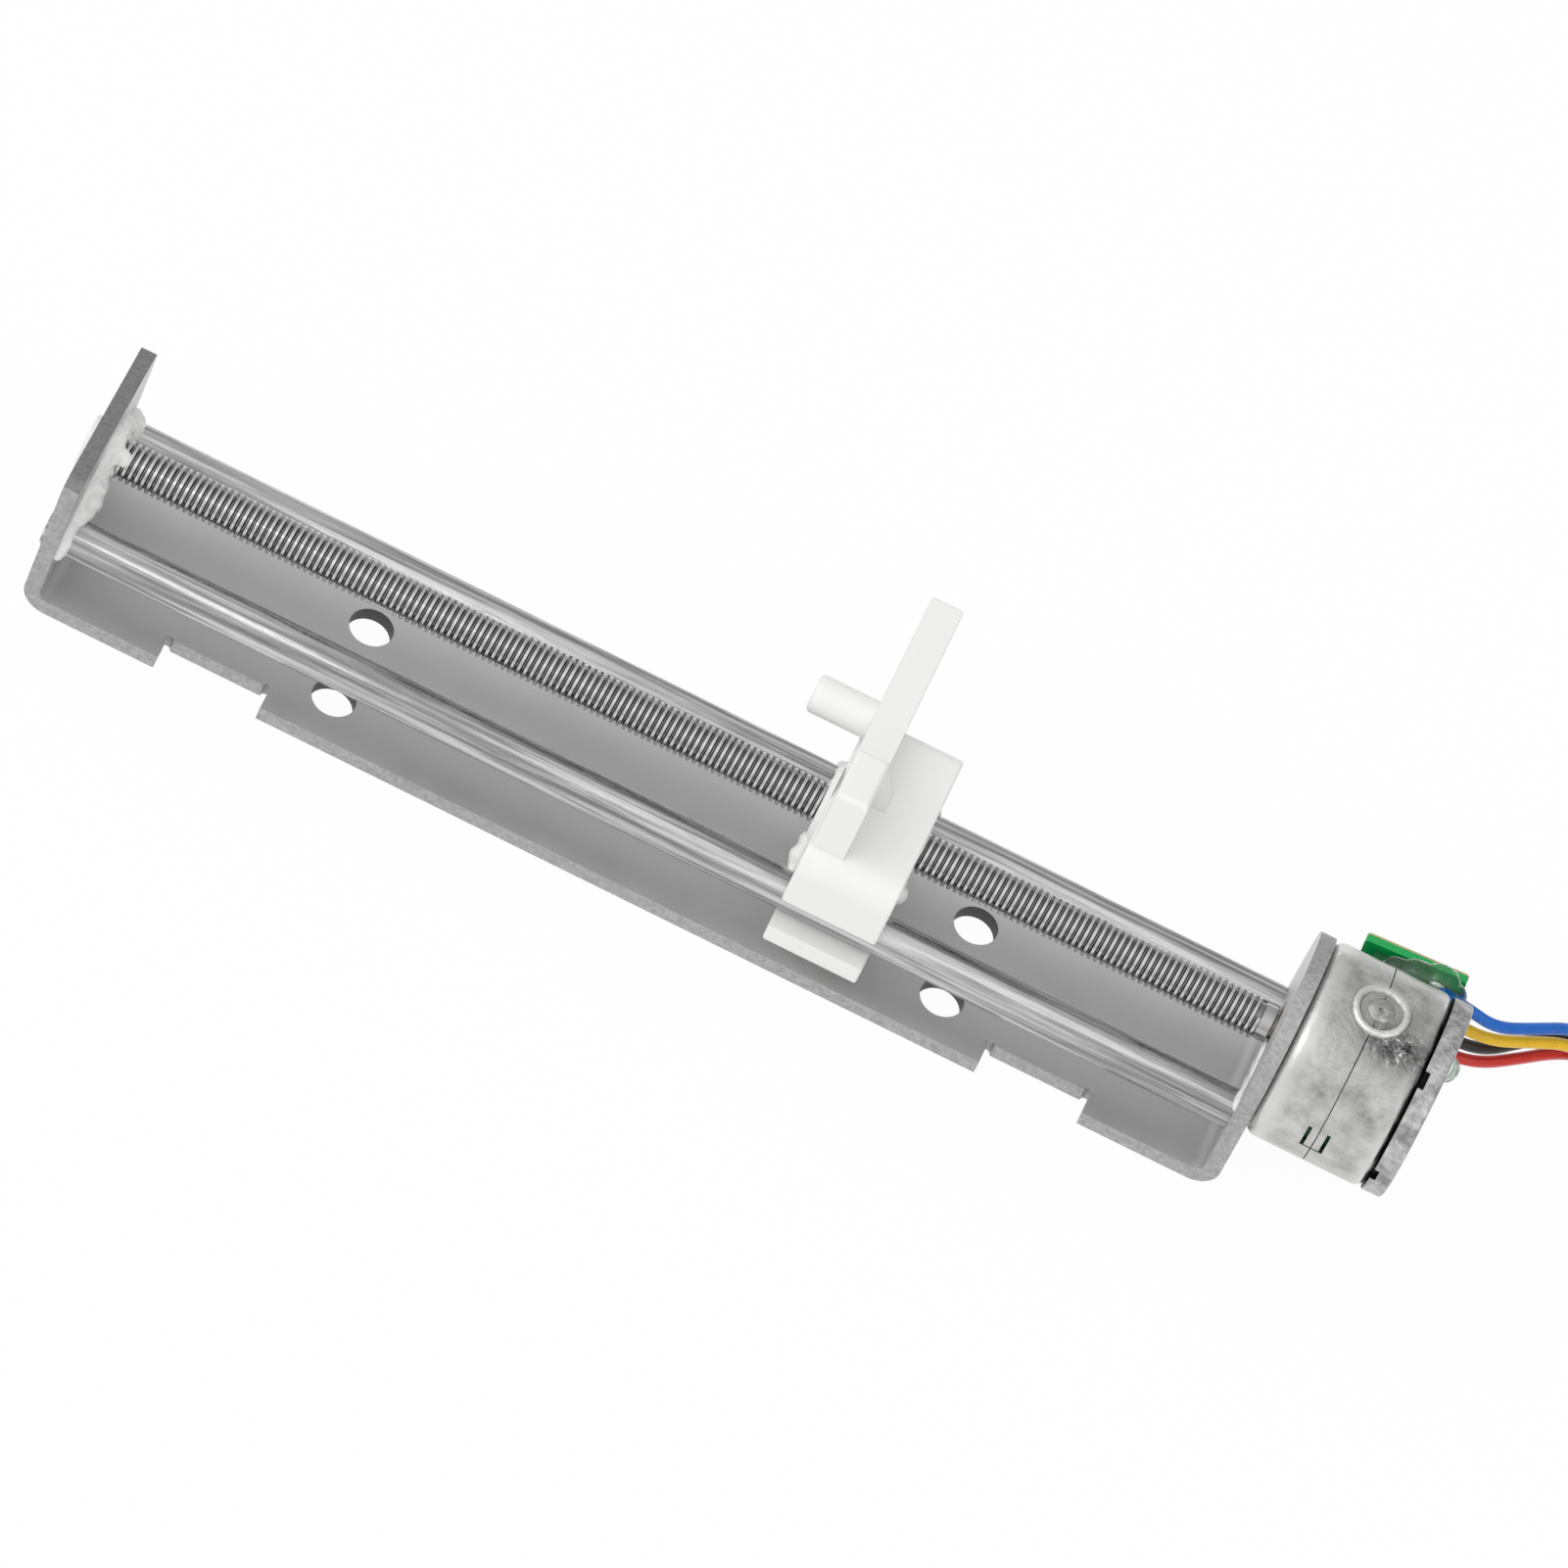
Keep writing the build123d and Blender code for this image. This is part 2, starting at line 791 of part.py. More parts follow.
def main():
    os.makedirs("parts", exist_ok=True)
    save("bracket", make_bracket())
    save("guide_rod_near", make_guide_rod(-rod_y))
    save("guide_rod_far", make_guide_rod(rod_y))
    save("lead_screw", make_lead_screw())
    save("end_bush", make_end_bush())
    for rear, side in ((False, "front"), (True, "rear")):
        save("stator_cup_" + side, make_stator_cup(rear))
        save("pole_plate_" + side, make_pole_plate(rear))
        save("bobbin_" + side, make_bobbin(rear))
        save("winding_" + side, make_winding(rear))
    save("terminal_pins", all_pins(pin_radius))
    save("wiring_board", make_wiring_board())
    save("solder_joints", make_solder_joints())
    save("rear_plate", make_rear_plate())
    save("front_bearing", make_front_bearing())
    save("rear_bearing", make_rear_bearing())
    save("rotor_magnet", make_rotor_magnet())
    save("rotor_hub", make_rotor_hub())
    save("thrust_washer_front", make_thrust_washer(half_length + bearing_flange))
    save("thrust_washer_rear", make_thrust_washer(magnet_start() + magnet_length + thrust_washer))
    save("preload_spring", make_preload_spring())
    save("slider", make_slider())
    for name in lead_routes:
        save(name, make_lead(name))
    save("lead_coil", make_lead_coil())
    save("lead_tie", make_lead_tie())


if __name__ == "__main__":
    main()
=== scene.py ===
import math

import bmesh
import bpy
from mathutils import Matrix, Vector, noise


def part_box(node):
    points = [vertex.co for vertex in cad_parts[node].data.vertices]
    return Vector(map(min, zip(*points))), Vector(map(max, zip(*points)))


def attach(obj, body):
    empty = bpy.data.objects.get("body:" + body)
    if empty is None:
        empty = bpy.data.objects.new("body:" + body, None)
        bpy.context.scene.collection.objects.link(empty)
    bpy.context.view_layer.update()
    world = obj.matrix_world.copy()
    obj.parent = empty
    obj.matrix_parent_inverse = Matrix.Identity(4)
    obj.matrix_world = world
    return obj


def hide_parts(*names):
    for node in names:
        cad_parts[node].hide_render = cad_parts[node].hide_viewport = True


bl_info = {
    "name": "Stepper Motor Linear Slide",
    "version": (1, 0, 0),
    "blender": (4, 5, 0),
    "location": "View3D > Sidebar > Slide",
    "description": "Dresses a small lead screw slide with its thread, wiring, grease and finishes",
    "category": "Object",
}

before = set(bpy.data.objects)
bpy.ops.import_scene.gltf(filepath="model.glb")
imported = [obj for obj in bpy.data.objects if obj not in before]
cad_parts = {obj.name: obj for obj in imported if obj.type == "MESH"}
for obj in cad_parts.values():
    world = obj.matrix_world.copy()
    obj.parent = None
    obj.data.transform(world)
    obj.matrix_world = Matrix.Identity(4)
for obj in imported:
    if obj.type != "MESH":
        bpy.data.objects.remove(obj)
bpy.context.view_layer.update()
MM = 0.001

# Sizes of the CAD model that the dressing follows, in millimetres. The base is flat between its bends for
# twice FLAT_HALF_LENGTH.
AXIS_Z = 10.2
CAN_RADIUS = 7.5
MOTOR_END_X = 57.8
SHEET_THICKNESS = 1.2
BEND_RADIUS = 2.0
FLAT_HALF_LENGTH = 45.0
HOLE_X = 24.0
HOLE_Y = 3.65
HOLE_RADIUS = 1.65
BOARD_FACE_Y = 9.3
ROD_Y = 5.15
ROD_Z = 6.25

# The photograph's view and light.
IMAGE_SIZE = 1601
KEY_WATTS = 0.6
FILL_WATTS = 0.2
ROOM_LEVEL = 1.1

# Points on the centre line of each lead, in metres, from its solder pad to the tied coil.
LEAD_ROUTES = {
    "lead_blue": [
        (0.0552, 0.00805, 0.0122), (0.0576, 0.00805, 0.0118), (0.0601, 0.0083, 0.0109),
        (0.0626, 0.0104, 0.0101), (0.0654, 0.0134, 0.0087), (0.0684, 0.0154, 0.0062),
        (0.0712, 0.0158, 0.0035), (0.0736, 0.01555, 0.0016), (0.0760, 0.01555, 0.0016),
    ],
    "lead_yellow": [
        (0.0552, 0.00805, 0.0099), (0.0577, 0.00805, 0.0096), (0.0603, 0.0085, 0.0092),
        (0.0630, 0.0106, 0.0085), (0.0658, 0.0132, 0.0072), (0.0686, 0.0145, 0.0051),
        (0.0712, 0.0147, 0.0030), (0.0736, 0.0146, 0.0016), (0.0760, 0.0146, 0.0016),
    ],
    "lead_black": [
        (0.0552, 0.00805, 0.0081), (0.0577, 0.00805, 0.0079), (0.0602, 0.0089, 0.0074),
        (0.0624, 0.0116, 0.0066), (0.0648, 0.0150, 0.0055), (0.0676, 0.0162, 0.0042),
        (0.0706, 0.0152, 0.0021), (0.0734, 0.0146, 0.00065), (0.0760, 0.0146, 0.00065),
    ],
    "lead_red": [
        (0.0552, 0.00805, 0.0063), (0.0578, 0.00805, 0.0062), (0.0604, 0.0089, 0.0059),
        (0.0629, 0.0114, 0.0053), (0.0654, 0.0145, 0.0042), (0.0680, 0.0168, 0.0027),
        (0.0708, 0.0169, 0.0012), (0.0735, 0.01555, 0.00065), (0.0760, 0.01555, 0.00065),
    ],
}


def linear(hex_code):
    """An sRGB hex colour as linear RGBA."""
    parts = [int(hex_code[i:i + 2], 16) / 255 for i in (1, 3, 5)]
    return tuple(p / 12.92 if p <= 0.04045 else ((p + 0.055) / 1.055) ** 2.4 for p in parts) + (1.0,)


def colour_property(name, hex_code, description):
    """A finish's colour, as the user sees it in the sidebar."""
    return bpy.props.FloatVectorProperty(
        name=name, description=description, subtype="COLOR", size=4, min=0, max=1, default=linear(hex_code)
    )


def size_property(name, default, description):
    """A detail's size in metres, as the user sees it in the sidebar."""
    return bpy.props.FloatProperty(
        name=name, description=description, default=default, min=0, unit="LENGTH", precision=5
    )


class SlideSizes(bpy.types.PropertyGroup):
    """Sizes of the details that the dressing adds"""

    thread_pitch: size_property("Thread pitch", 0.5 * MM, "Distance between two turns of the screw")
    thread_depth: size_property("Thread depth", 0.27 * MM, "Depth of the rolled thread")
    lead_diameter: size_property("Lead diameter", 0.9 * MM, "Outside diameter of a lead's insulation")
    lead_length: size_property("Lead length", 80 * MM, "Length of each lead from its solder pad to its end")
    coil_radius: size_property("Coil radius", 4.6 * MM, "Radius of the inner lane of the tied coil")
    strand_length: size_property("Bare end", 2.6 * MM, "Length of the tinned end of a lead")


class SlideColours(bpy.types.PropertyGroup):
    """Colours of the finishes"""

    acetal: colour_property("Acetal", "#F1F1F0", "Natural white acetal of the slider and the bush")
    zinc: colour_property("Zinc", "#D8D8D8", "Bright zinc plating of the bracket")
    nickel: colour_property("Nickel", "#C6C6C5", "Nickel plating of the motor can")
    steel: colour_property("Steel", "#C8C8C8", "Ground stainless steel of the rods and the screw")
    board: colour_property("Solder mask", "#06A552", "Green solder mask of the wiring board")
    blue: colour_property("Blue lead", "#0064C6", "Insulation of the first lead")
    yellow: colour_property("Yellow lead", "#F6C41A", "Insulation of the second lead")
    black: colour_property("Black lead", "#191513", "Insulation of the third lead")
    red: colour_property("Red lead", "#DA3028", "Insulation of the fourth lead")


def sizes():
    return bpy.context.scene.slide_sizes


def colours():
    return bpy.context.scene.slide_colours


# Materials

def node(tree, kind, values=None, links=None, **settings):
    """Adds a node with its settings, socket values and links. A linked node gives its first output."""
    made = tree.nodes.new(kind)
    for key, value in settings.items():
        setattr(made, key, value)
    for key, value in (values or {}).items():
        made.inputs[key].default_value = value
    for key, source in (links or {}).items():
        if isinstance(source, bpy.types.Node):
            source = source.outputs[0]
        tree.links.new(source, made.inputs[key])
    return made


def new_finish(name, colour, metallic, roughness, **values):
    """A named finish with its shader set, its tree, and the piece's own coordinates."""
    finish = bpy.data.materials.new(name)
    finish.use_nodes = True
    tree = finish.node_tree
    shader = tree.nodes["Principled BSDF"]
    shader.inputs["Base Color"].default_value = colour
    shader.inputs["Metallic"].default_value = metallic
    shader.inputs["Roughness"].default_value = roughness
    for key, value in values.items():
        shader.inputs[key.replace("_", " ")].default_value = value
    place = node(tree, "ShaderNodeTexCoord").outputs["Object"]
    return finish, tree, shader.inputs, place


def scaled(colour, factor):
    """A lighter or darker version of a colour."""
    return tuple(c * factor for c in colour[:3]) + (1.0,)


def axis_distance(tree, place):
    """How far each point lies from the screw's axis."""
    centred = node(
        tree, "ShaderNodeMapping", {"Location": (0, 0, -AXIS_Z * MM), "Scale": (0, 1, 1)}, {"Vector": place}
    )
    return node(tree, "ShaderNodeVectorMath", links={0: centred}, operation="LENGTH").outputs["Value"]


def face_directions(tree):
    """The X, Y and Z of the direction that each face looks in."""
    true_normal = node(tree, "ShaderNodeNewGeometry").outputs["True Normal"]
    return node(tree, "ShaderNodeSeparateXYZ", links={"Vector": true_normal}).outputs


def uneven_gloss(tree, shader, place, noise_values, seen, gloss):
    """A noise whose levels, from seen[0] to seen[1], take the roughness from gloss[0] to gloss[1]."""
    pattern = node(tree, "ShaderNodeTexNoise", noise_values, {"Vector": place})
    level = node(
        tree, "ShaderNodeMapRange",
        {"From Min": seen[0], "From Max": seen[1], "To Min": gloss[0], "To Max": gloss[1]},
        {"Value": pattern},
    )
    tree.links.new(level.outputs[0], shader["Roughness"])
    return pattern


def uneven_skin(tree, shader, place, size, detail, seen, gloss, depth):
    """An uneven gloss of size millimetres that is also a relief, depth millimetres deep."""
    pattern = uneven_gloss(tree, shader, place, {"Scale": 1000 / size, "Detail": detail}, seen, gloss)
    relief = node(tree, "ShaderNodeBump", {"Distance": depth * MM}, {"Height": pattern})
    tree.links.new(relief.outputs[0], shader["Normal"])


def zinc_plated_sheet():
    """Cold-rolled sheet, bright zinc plated: even satin grey faces with a faint rolling grain, mottled torn
    metal where it was sheared, and painted shade on the walls of the holes."""
    colour = tuple(colours().zinc)
    finish, tree, shader, place = new_finish("Zinc plated steel sheet", colour, 1.0, 0.5)
    math_node = "ShaderNodeMath"
    spot = node(tree, "ShaderNodeSeparateXYZ", links={"Vector": place}).outputs
    facing = face_directions(tree)
    facing_x = node(tree, math_node, links={0: facing["X"]}, operation="ABSOLUTE")
    facing_z = node(tree, math_node, links={0: facing["Z"]}, operation="ABSOLUTE")
    along = node(tree, math_node, links={0: spot["X"]}, operation="ABSOLUTE")
    across = node(tree, math_node, links={0: spot["Y"]}, operation="ABSOLUTE")
    # The rims of the two end plates.
    not_face = node(tree, math_node, {1: 0.7}, {0: facing_x}, operation="LESS_THAN")
    bend_top = (BEND_RADIUS + 0.05) * MM
    above_bend = node(tree, math_node, {1: bend_top}, {0: spot["Z"]}, operation="GREATER_THAN")
    plate_rim = node(tree, math_node, links={0: not_face, 1: above_bend}, operation="MULTIPLY")
    # The rims of the base, its notches and its holes.
    upright = node(tree, math_node, {1: 0.7}, {0: facing_z}, operation="LESS_THAN")
    low = node(tree, math_node, {1: (SHEET_THICKNESS + 0.1) * MM}, {0: spot["Z"]}, operation="LESS_THAN")
    inside = node(tree, math_node, {1: FLAT_HALF_LENGTH * MM}, {0: along}, operation="LESS_THAN")
    base_rim = node(tree, math_node, links={0: upright, 1: low}, operation="MULTIPLY")
    base_rim = node(tree, math_node, links={0: base_rim, 1: inside}, operation="MULTIPLY")
    # The edges of the two bends.
    facing_y = node(tree, math_node, links={0: facing["Y"]}, operation="ABSOLUTE")
    flank = node(tree, math_node, {1: 0.7}, {0: facing_y}, operation="GREATER_THAN")
    rim = node(tree, math_node, links={0: plate_rim, 1: base_rim}, operation="MAXIMUM")
    rim = node(tree, math_node, links={0: rim, 1: flank}, operation="MAXIMUM")
    # The walls of the four holes.
    hole_x = node(tree, math_node, {1: HOLE_X * MM}, {0: along}, operation="SUBTRACT")
    hole_y = node(tree, math_node, {1: HOLE_Y * MM}, {0: across}, operation="SUBTRACT")
    hole_place = node(tree, "ShaderNodeCombineXYZ", links={"X": hole_x, "Y": hole_y})
    to_hole = node(tree, "ShaderNodeVectorMath", links={0: hole_place}, operation="LENGTH")
    to_hole = to_hole.outputs["Value"]
    near_hole = node(tree, math_node, {1: (HOLE_RADIUS + 0.25) * MM}, {0: to_hole}, operation="LESS_THAN")
    hole_wall = node(tree, math_node, links={0: near_hole, 1: base_rim}, operation="MULTIPLY")
    # Grain: rolling lines 0.25 mm apart along X, clouds of 5 mm, torn metal of 0.35 mm.
    rolled = node(tree, "ShaderNodeMapping", {"Scale": (0.07, 1, 1)}, {"Vector": place})
    rolling = node(tree, "ShaderNodeTexNoise", {"Scale": 1000 / 0.25, "Detail": 4}, {"Vector": rolled})
    cloud = node(tree, "ShaderNodeTexNoise", {"Scale": 1000 / 5, "Detail": 4}, {"Vector": place})
    torn = node(
        tree, "ShaderNodeTexNoise", {"Scale": 1000 / 0.35, "Detail": 4, "Roughness": 0.75}, {"Vector": place}
    )
    face_colour = node(
        tree, "ShaderNodeMix", {6: scaled(colour, 0.93), 7: scaled(colour, 1.05)}, {0: cloud},
        data_type="RGBA",
    )
    torn_colour = node(
        tree, "ShaderNodeMix", {6: scaled(colour, 0.3), 7: scaled(colour, 1.05)}, {0: torn}, data_type="RGBA"
    )
    rimmed = node(
        tree, "ShaderNodeMix", None, {0: rim, 6: face_colour.outputs[2], 7: torn_colour.outputs[2]},
        data_type="RGBA",
    )
    # The low plate's top rim is darker, with thin plating.
    top = node(tree, math_node, {1: 0.5}, {0: facing["Z"]}, operation="GREATER_THAN")
    at_low_end = node(tree, math_node, {1: -FLAT_HALF_LENGTH * MM}, {0: spot["X"]}, operation="LESS_THAN")
    dark_rim = node(tree, math_node, links={0: top, 1: at_low_end}, operation="MULTIPLY")
    dark_rim = node(tree, math_node, links={0: dark_rim, 1: plate_rim}, operation="MULTIPLY")
    dark_rim = node(tree, math_node, {1: 0.5}, {0: dark_rim}, operation="MULTIPLY")
    rimmed = node(
        tree, "ShaderNodeMix", {7: scaled(colour, 0.16)}, {0: dark_rim, 6: rimmed.outputs[2]},
        data_type="RGBA",
    )
    # Painted shade: the walls of the four holes are painted dark grey.
    hole_wall_shade = node(
        tree, "ShaderNodeMix", {7: linear("#5E5E5E")}, {0: hole_wall, 6: rimmed.outputs[2]},
        data_type="RGBA",
    )
    tree.links.new(hole_wall_shade.outputs[2], shader["Base Color"])
    satin = node(
        tree, "ShaderNodeMapRange", {"From Min": 0.3, "From Max": 0.7, "To Min": 0.46, "To Max": 0.58},
        {"Value": cloud},
    )
    rough = node(tree, "ShaderNodeMix", {3: 0.62}, {0: rim, 2: satin})
    tree.links.new(rough.outputs[0], shader["Roughness"])
    edge = node(tree, "ShaderNodeBevel", {"Radius": 0.12 * MM}, samples=4)
    grain = node(tree, "ShaderNodeBump", {"Distance": 0.004 * MM}, {"Height": rolling, "Normal": edge})
    shear = node(
        tree, "ShaderNodeBump", {"Distance": 0.09 * MM},
        {"Height": torn, "Strength": rim, "Normal": grain},
    )
    tree.links.new(shear.outputs[0], shader["Normal"])
    return finish


def ground_rod():
    """Centreless ground stainless rod under a smeared film of grease: bright, broken by dull streaks that are
    partly grease and partly painted dark reflection.
    """
    colour = tuple(colours().steel)
    finish, tree, shader, place = new_finish("Ground stainless steel, greased", colour, 1.0, 0.14)
    drawn = node(tree, "ShaderNodeMapping", {"Scale": (0.16, 1, 1)}, {"Vector": place})
    film = uneven_gloss(
        tree, shader, drawn, {"Scale": 1000 / 1.5, "Detail": 5, "Roughness": 0.62}, (0.4, 0.66), (0.16, 0.5)
    )
    # Long streaks, 0.55 mm wide: partly grease left by wiping, partly painted dark reflection.
    wiped = node(tree, "ShaderNodeMapping", {"Scale": (0.02, 1, 1)}, {"Vector": place})
    grease_and_reflection_streak = node(
        tree, "ShaderNodeTexNoise", {"Scale": 1000 / 0.55, "Detail": 5, "Roughness": 0.65}, {"Vector": wiped}
    )
    dark = node(tree, "ShaderNodeMapRange", {"From Min": 0.42, "From Max": 0.58}, {"Value": grease_and_reflection_streak})
    shade = node(
        tree, "ShaderNodeMix", {6: scaled(colour, 0.45), 7: scaled(colour, 1.1)}, {0: dark}, data_type="RGBA"
    )
    tree.links.new(shade.outputs[2], shader["Base Color"])
    # Grinding lines round the rod, 0.12 mm apart.
    turned = node(tree, "ShaderNodeMapping", {"Scale": (1, 0.08, 0.08)}, {"Vector": place})
    ground = node(tree, "ShaderNodeTexNoise", {"Scale": 1000 / 0.12, "Detail": 2}, {"Vector": turned})
    smeared = node(tree, "ShaderNodeBump", {"Distance": 0.12 * MM}, {"Height": film})
    lines = node(tree, "ShaderNodeBump", {"Distance": 0.0012 * MM}, {"Height": ground, "Normal": smeared})
    tree.links.new(lines.outputs[0], shader["Normal"])
    return finish


def rolled_thread():
    """Rolled stainless thread, with a painted highlight on the crests and painted shade in the roots."""
    colour = tuple(colours().steel)
    finish, tree, shader, place = new_finish("Rolled stainless thread", colour, 1.0, 0.18)
    radius = axis_distance(tree, place)
    # Painted highlight and shade: the colour runs from dark in the roots to bright on the crests, by distance
    # from the axis.
    crest = node(
        tree, "ShaderNodeMapRange", {"From Min": 1.25 * MM, "From Max": 1.38 * MM}, {"Value": radius}
    )
    drawn = node(tree, "ShaderNodeMapping", {"Scale": (0.3, 1, 1)}, {"Vector": place})
    shade = node(
        tree, "ShaderNodeMix", {6: scaled(colour, 0.42), 7: scaled(colour, 0.98)}, {0: crest},
        data_type="RGBA",
    )
    tree.links.new(shade.outputs[2], shader["Base Color"])
    film = uneven_gloss(
        tree, shader, drawn, {"Scale": 1000 / 0.9, "Detail": 4, "Roughness": 0.6}, (0.4, 0.7), (0.12, 0.4)
    )
    smeared = node(tree, "ShaderNodeBump", {"Distance": 0.01 * MM}, {"Height": film})
    tree.links.new(smeared.outputs[0], shader["Normal"])
    return finish


def nickel_plated_can():
    """Deep drawn steel, nickel plated: satin and slightly rippled, with thin scratches and finger smears,
    a painted highlight on both ends, and a pitted dark stain in scuffed metal beside the stake."""
    colour = tuple(colours().nickel)
    finish, tree, shader, place = new_finish("Nickel plated drawn steel", colour, 1.0, 0.3)
    smear = node(
        tree, "ShaderNodeTexNoise", {"Scale": 1000 / 1.9, "Detail": 9, "Roughness": 0.7, "Distortion": 0.1},
        {"Vector": place},
    )
    slanted = node(
        tree, "ShaderNodeMapping", {"Rotation": (0.5, 0.3, 0.9), "Scale": (0.06, 1, 1)}, {"Vector": place}
    )
    scratch = node(tree, "ShaderNodeTexNoise", {"Scale": 1000 / 0.22, "Detail": 3}, {"Vector": slanted})
    thin = node(
        tree, "ShaderNodeMapRange", {"From Min": 0.62, "From Max": 0.72, "To Min": 0.0, "To Max": 0.16},
        {"Value": scratch},
    )
    satin = node(
        tree, "ShaderNodeMapRange", {"From Min": 0.35, "From Max": 0.65, "To Min": 0.18, "To Max": 0.46},
        {"Value": smear},
    )
    # The stain, beside the stake on top of the rear cup. It fades out 3 mm from its middle along the can
    # and 1.8 mm across it.
    shrink = 0.6
    stain_x, stain_y, stain_z = 53.7, -2.6, 17.15
    moved = node(
        tree, "ShaderNodeMapping",
        {"Location": (-shrink * stain_x * MM, -stain_y * MM, -stain_z * MM), "Scale": (shrink, 1, 1)},
        {"Vector": place},
    )
    distance = node(tree, "ShaderNodeVectorMath", links={0: moved}, operation="LENGTH").outputs["Value"]
    stain = node(
        tree, "ShaderNodeMapRange",
        {"From Min": 0.7 * MM, "From Max": 1.8 * MM, "To Min": 1.0, "To Max": 0.0},
        {"Value": distance},
    )
    pits = node(
        tree, "ShaderNodeTexNoise", {"Scale": 1000 / 0.55, "Detail": 5, "Roughness": 0.75}, {"Vector": place}
    )
    pit_mask = node(tree, "ShaderNodeMapRange", {"From Min": 0.42, "From Max": 0.6}, {"Value": pits})
    stained = node(tree, "ShaderNodeMath", links={0: stain, 1: pit_mask}, operation="MULTIPLY")
    speck = node(tree, "ShaderNodeMapRange", {"From Min": 0.42, "From Max": 0.34}, {"Value": pits})
    flecked = node(tree, "ShaderNodeMath", links={0: stain, 1: speck}, operation="MULTIPLY")
    # Handling has dulled and scuffed the metal round the stain.
    worn = node(
        tree, "ShaderNodeMapRange",
        {"From Min": 1.0 * MM, "From Max": 4.4 * MM, "To Min": 0.8, "To Max": 0.0},
        {"Value": distance},
    )
    # Painted highlight: both ends of the can are painted brighter, outside a band round its middle.
    band_x = 51.9
    spot = node(tree, "ShaderNodeSeparateXYZ", links={"Vector": place}).outputs
    off_centre = node(tree, "ShaderNodeMath", {1: band_x * MM}, {0: spot["X"]}, operation="SUBTRACT")
    off_centre = node(tree, "ShaderNodeMath", links={0: off_centre}, operation="ABSOLUTE")
    painted_end_highlight = node(
        tree, "ShaderNodeMapRange", {"From Min": 3.0 * MM, "From Max": 3.9 * MM}, {"Value": off_centre}
    )
    roughness = node(tree, "ShaderNodeMath", links={0: satin, 1: thin}, operation="ADD")
    tree.links.new(roughness.outputs[0], shader["Roughness"])
    smudge = node(tree, "ShaderNodeMapRange", {"From Min": 0.36, "From Max": 0.62}, {"Value": smear})
    clean = node(
        tree, "ShaderNodeMix", {6: scaled(colour, 0.68), 7: scaled(colour, 1.14)}, {0: smudge},
        data_type="RGBA",
    )
    drawn = node(
        tree, "ShaderNodeMix", {7: scaled(colour, 1.2)}, {0: painted_end_highlight, 6: clean.outputs[2]}, data_type="RGBA"
    )
    handled = node(
        tree, "ShaderNodeMix", {7: scaled(colour, 0.42)}, {0: worn, 6: drawn.outputs[2]}, data_type="RGBA"
    )
    dirty = node(
        tree, "ShaderNodeMix", {7: linear("#3E3E3E")}, {0: stained, 6: handled.outputs[2]}, data_type="RGBA"
    )
    bright = node(
        tree, "ShaderNodeMix", {7: linear("#FAFAFA")}, {0: flecked, 6: dirty.outputs[2]}, data_type="RGBA"
    )
    tree.links.new(bright.outputs[2], shader["Base Color"])
    waves = node(tree, "ShaderNodeTexNoise", {"Scale": 1000 / 2.2, "Detail": 2}, {"Vector": place})
    edge = node(tree, "ShaderNodeBevel", {"Radius": 0.08 * MM}, samples=4)
    ripple = node(tree, "ShaderNodeBump", {"Distance": 0.06 * MM}, {"Height": waves, "Normal": edge})
    lines = node(tree, "ShaderNodeBump", {"Distance": 0.01 * MM}, {"Height": scratch, "Normal": ripple})
    dents = node(
        tree, "ShaderNodeBump", {"Distance": 0.3 * MM}, {"Height": pits, "Strength": worn, "Normal": lines}
    )
    tree.links.new(dents.outputs[0], shader["Normal"])
    return finish


def staked_nickel():
    """The same nickel plated steel where the stake has pressed it: a painted highlight on the ring's high rim
    and painted shade in the grooves, which lie lower than the can's surface."""
    colour = tuple(colours().nickel)
    finish, tree, shader, place = new_finish("Staked nickel plated steel", colour, 1.0, 0.26)
    reach = axis_distance(tree, place)
    low, high = CAN_RADIUS - 0.05, CAN_RADIUS + 0.16
    # Painted highlight and shade: brighter where the ring stands higher, darker down in the grooves.
    painted_ring_light_and_shade = node(tree, "ShaderNodeMapRange", {"From Min": low * MM, "From Max": high * MM}, {"Value": reach})
    speck = node(
        tree, "ShaderNodeTexNoise", {"Scale": 1000 / 0.5, "Detail": 6, "Roughness": 0.7}, {"Vector": place}
    )
    mottled = node(
        tree, "ShaderNodeMapRange", {"From Min": 0.35, "From Max": 0.65, "To Min": -0.25, "To Max": 0.25},
        {"Value": speck},
    )
    level = node(tree, "ShaderNodeMath", links={0: painted_ring_light_and_shade, 1: mottled}, operation="ADD", use_clamp=True)
    shade = node(
        tree, "ShaderNodeMix", {6: scaled(colour, 0.3), 7: scaled(colour, 1.3)}, {0: level}, data_type="RGBA"
    )
    tree.links.new(shade.outputs[2], shader["Base Color"])
    skin = node(tree, "ShaderNodeBump", {"Distance": 0.04 * MM}, {"Height": speck})
    tree.links.new(skin.outputs[0], shader["Normal"])
    return finish


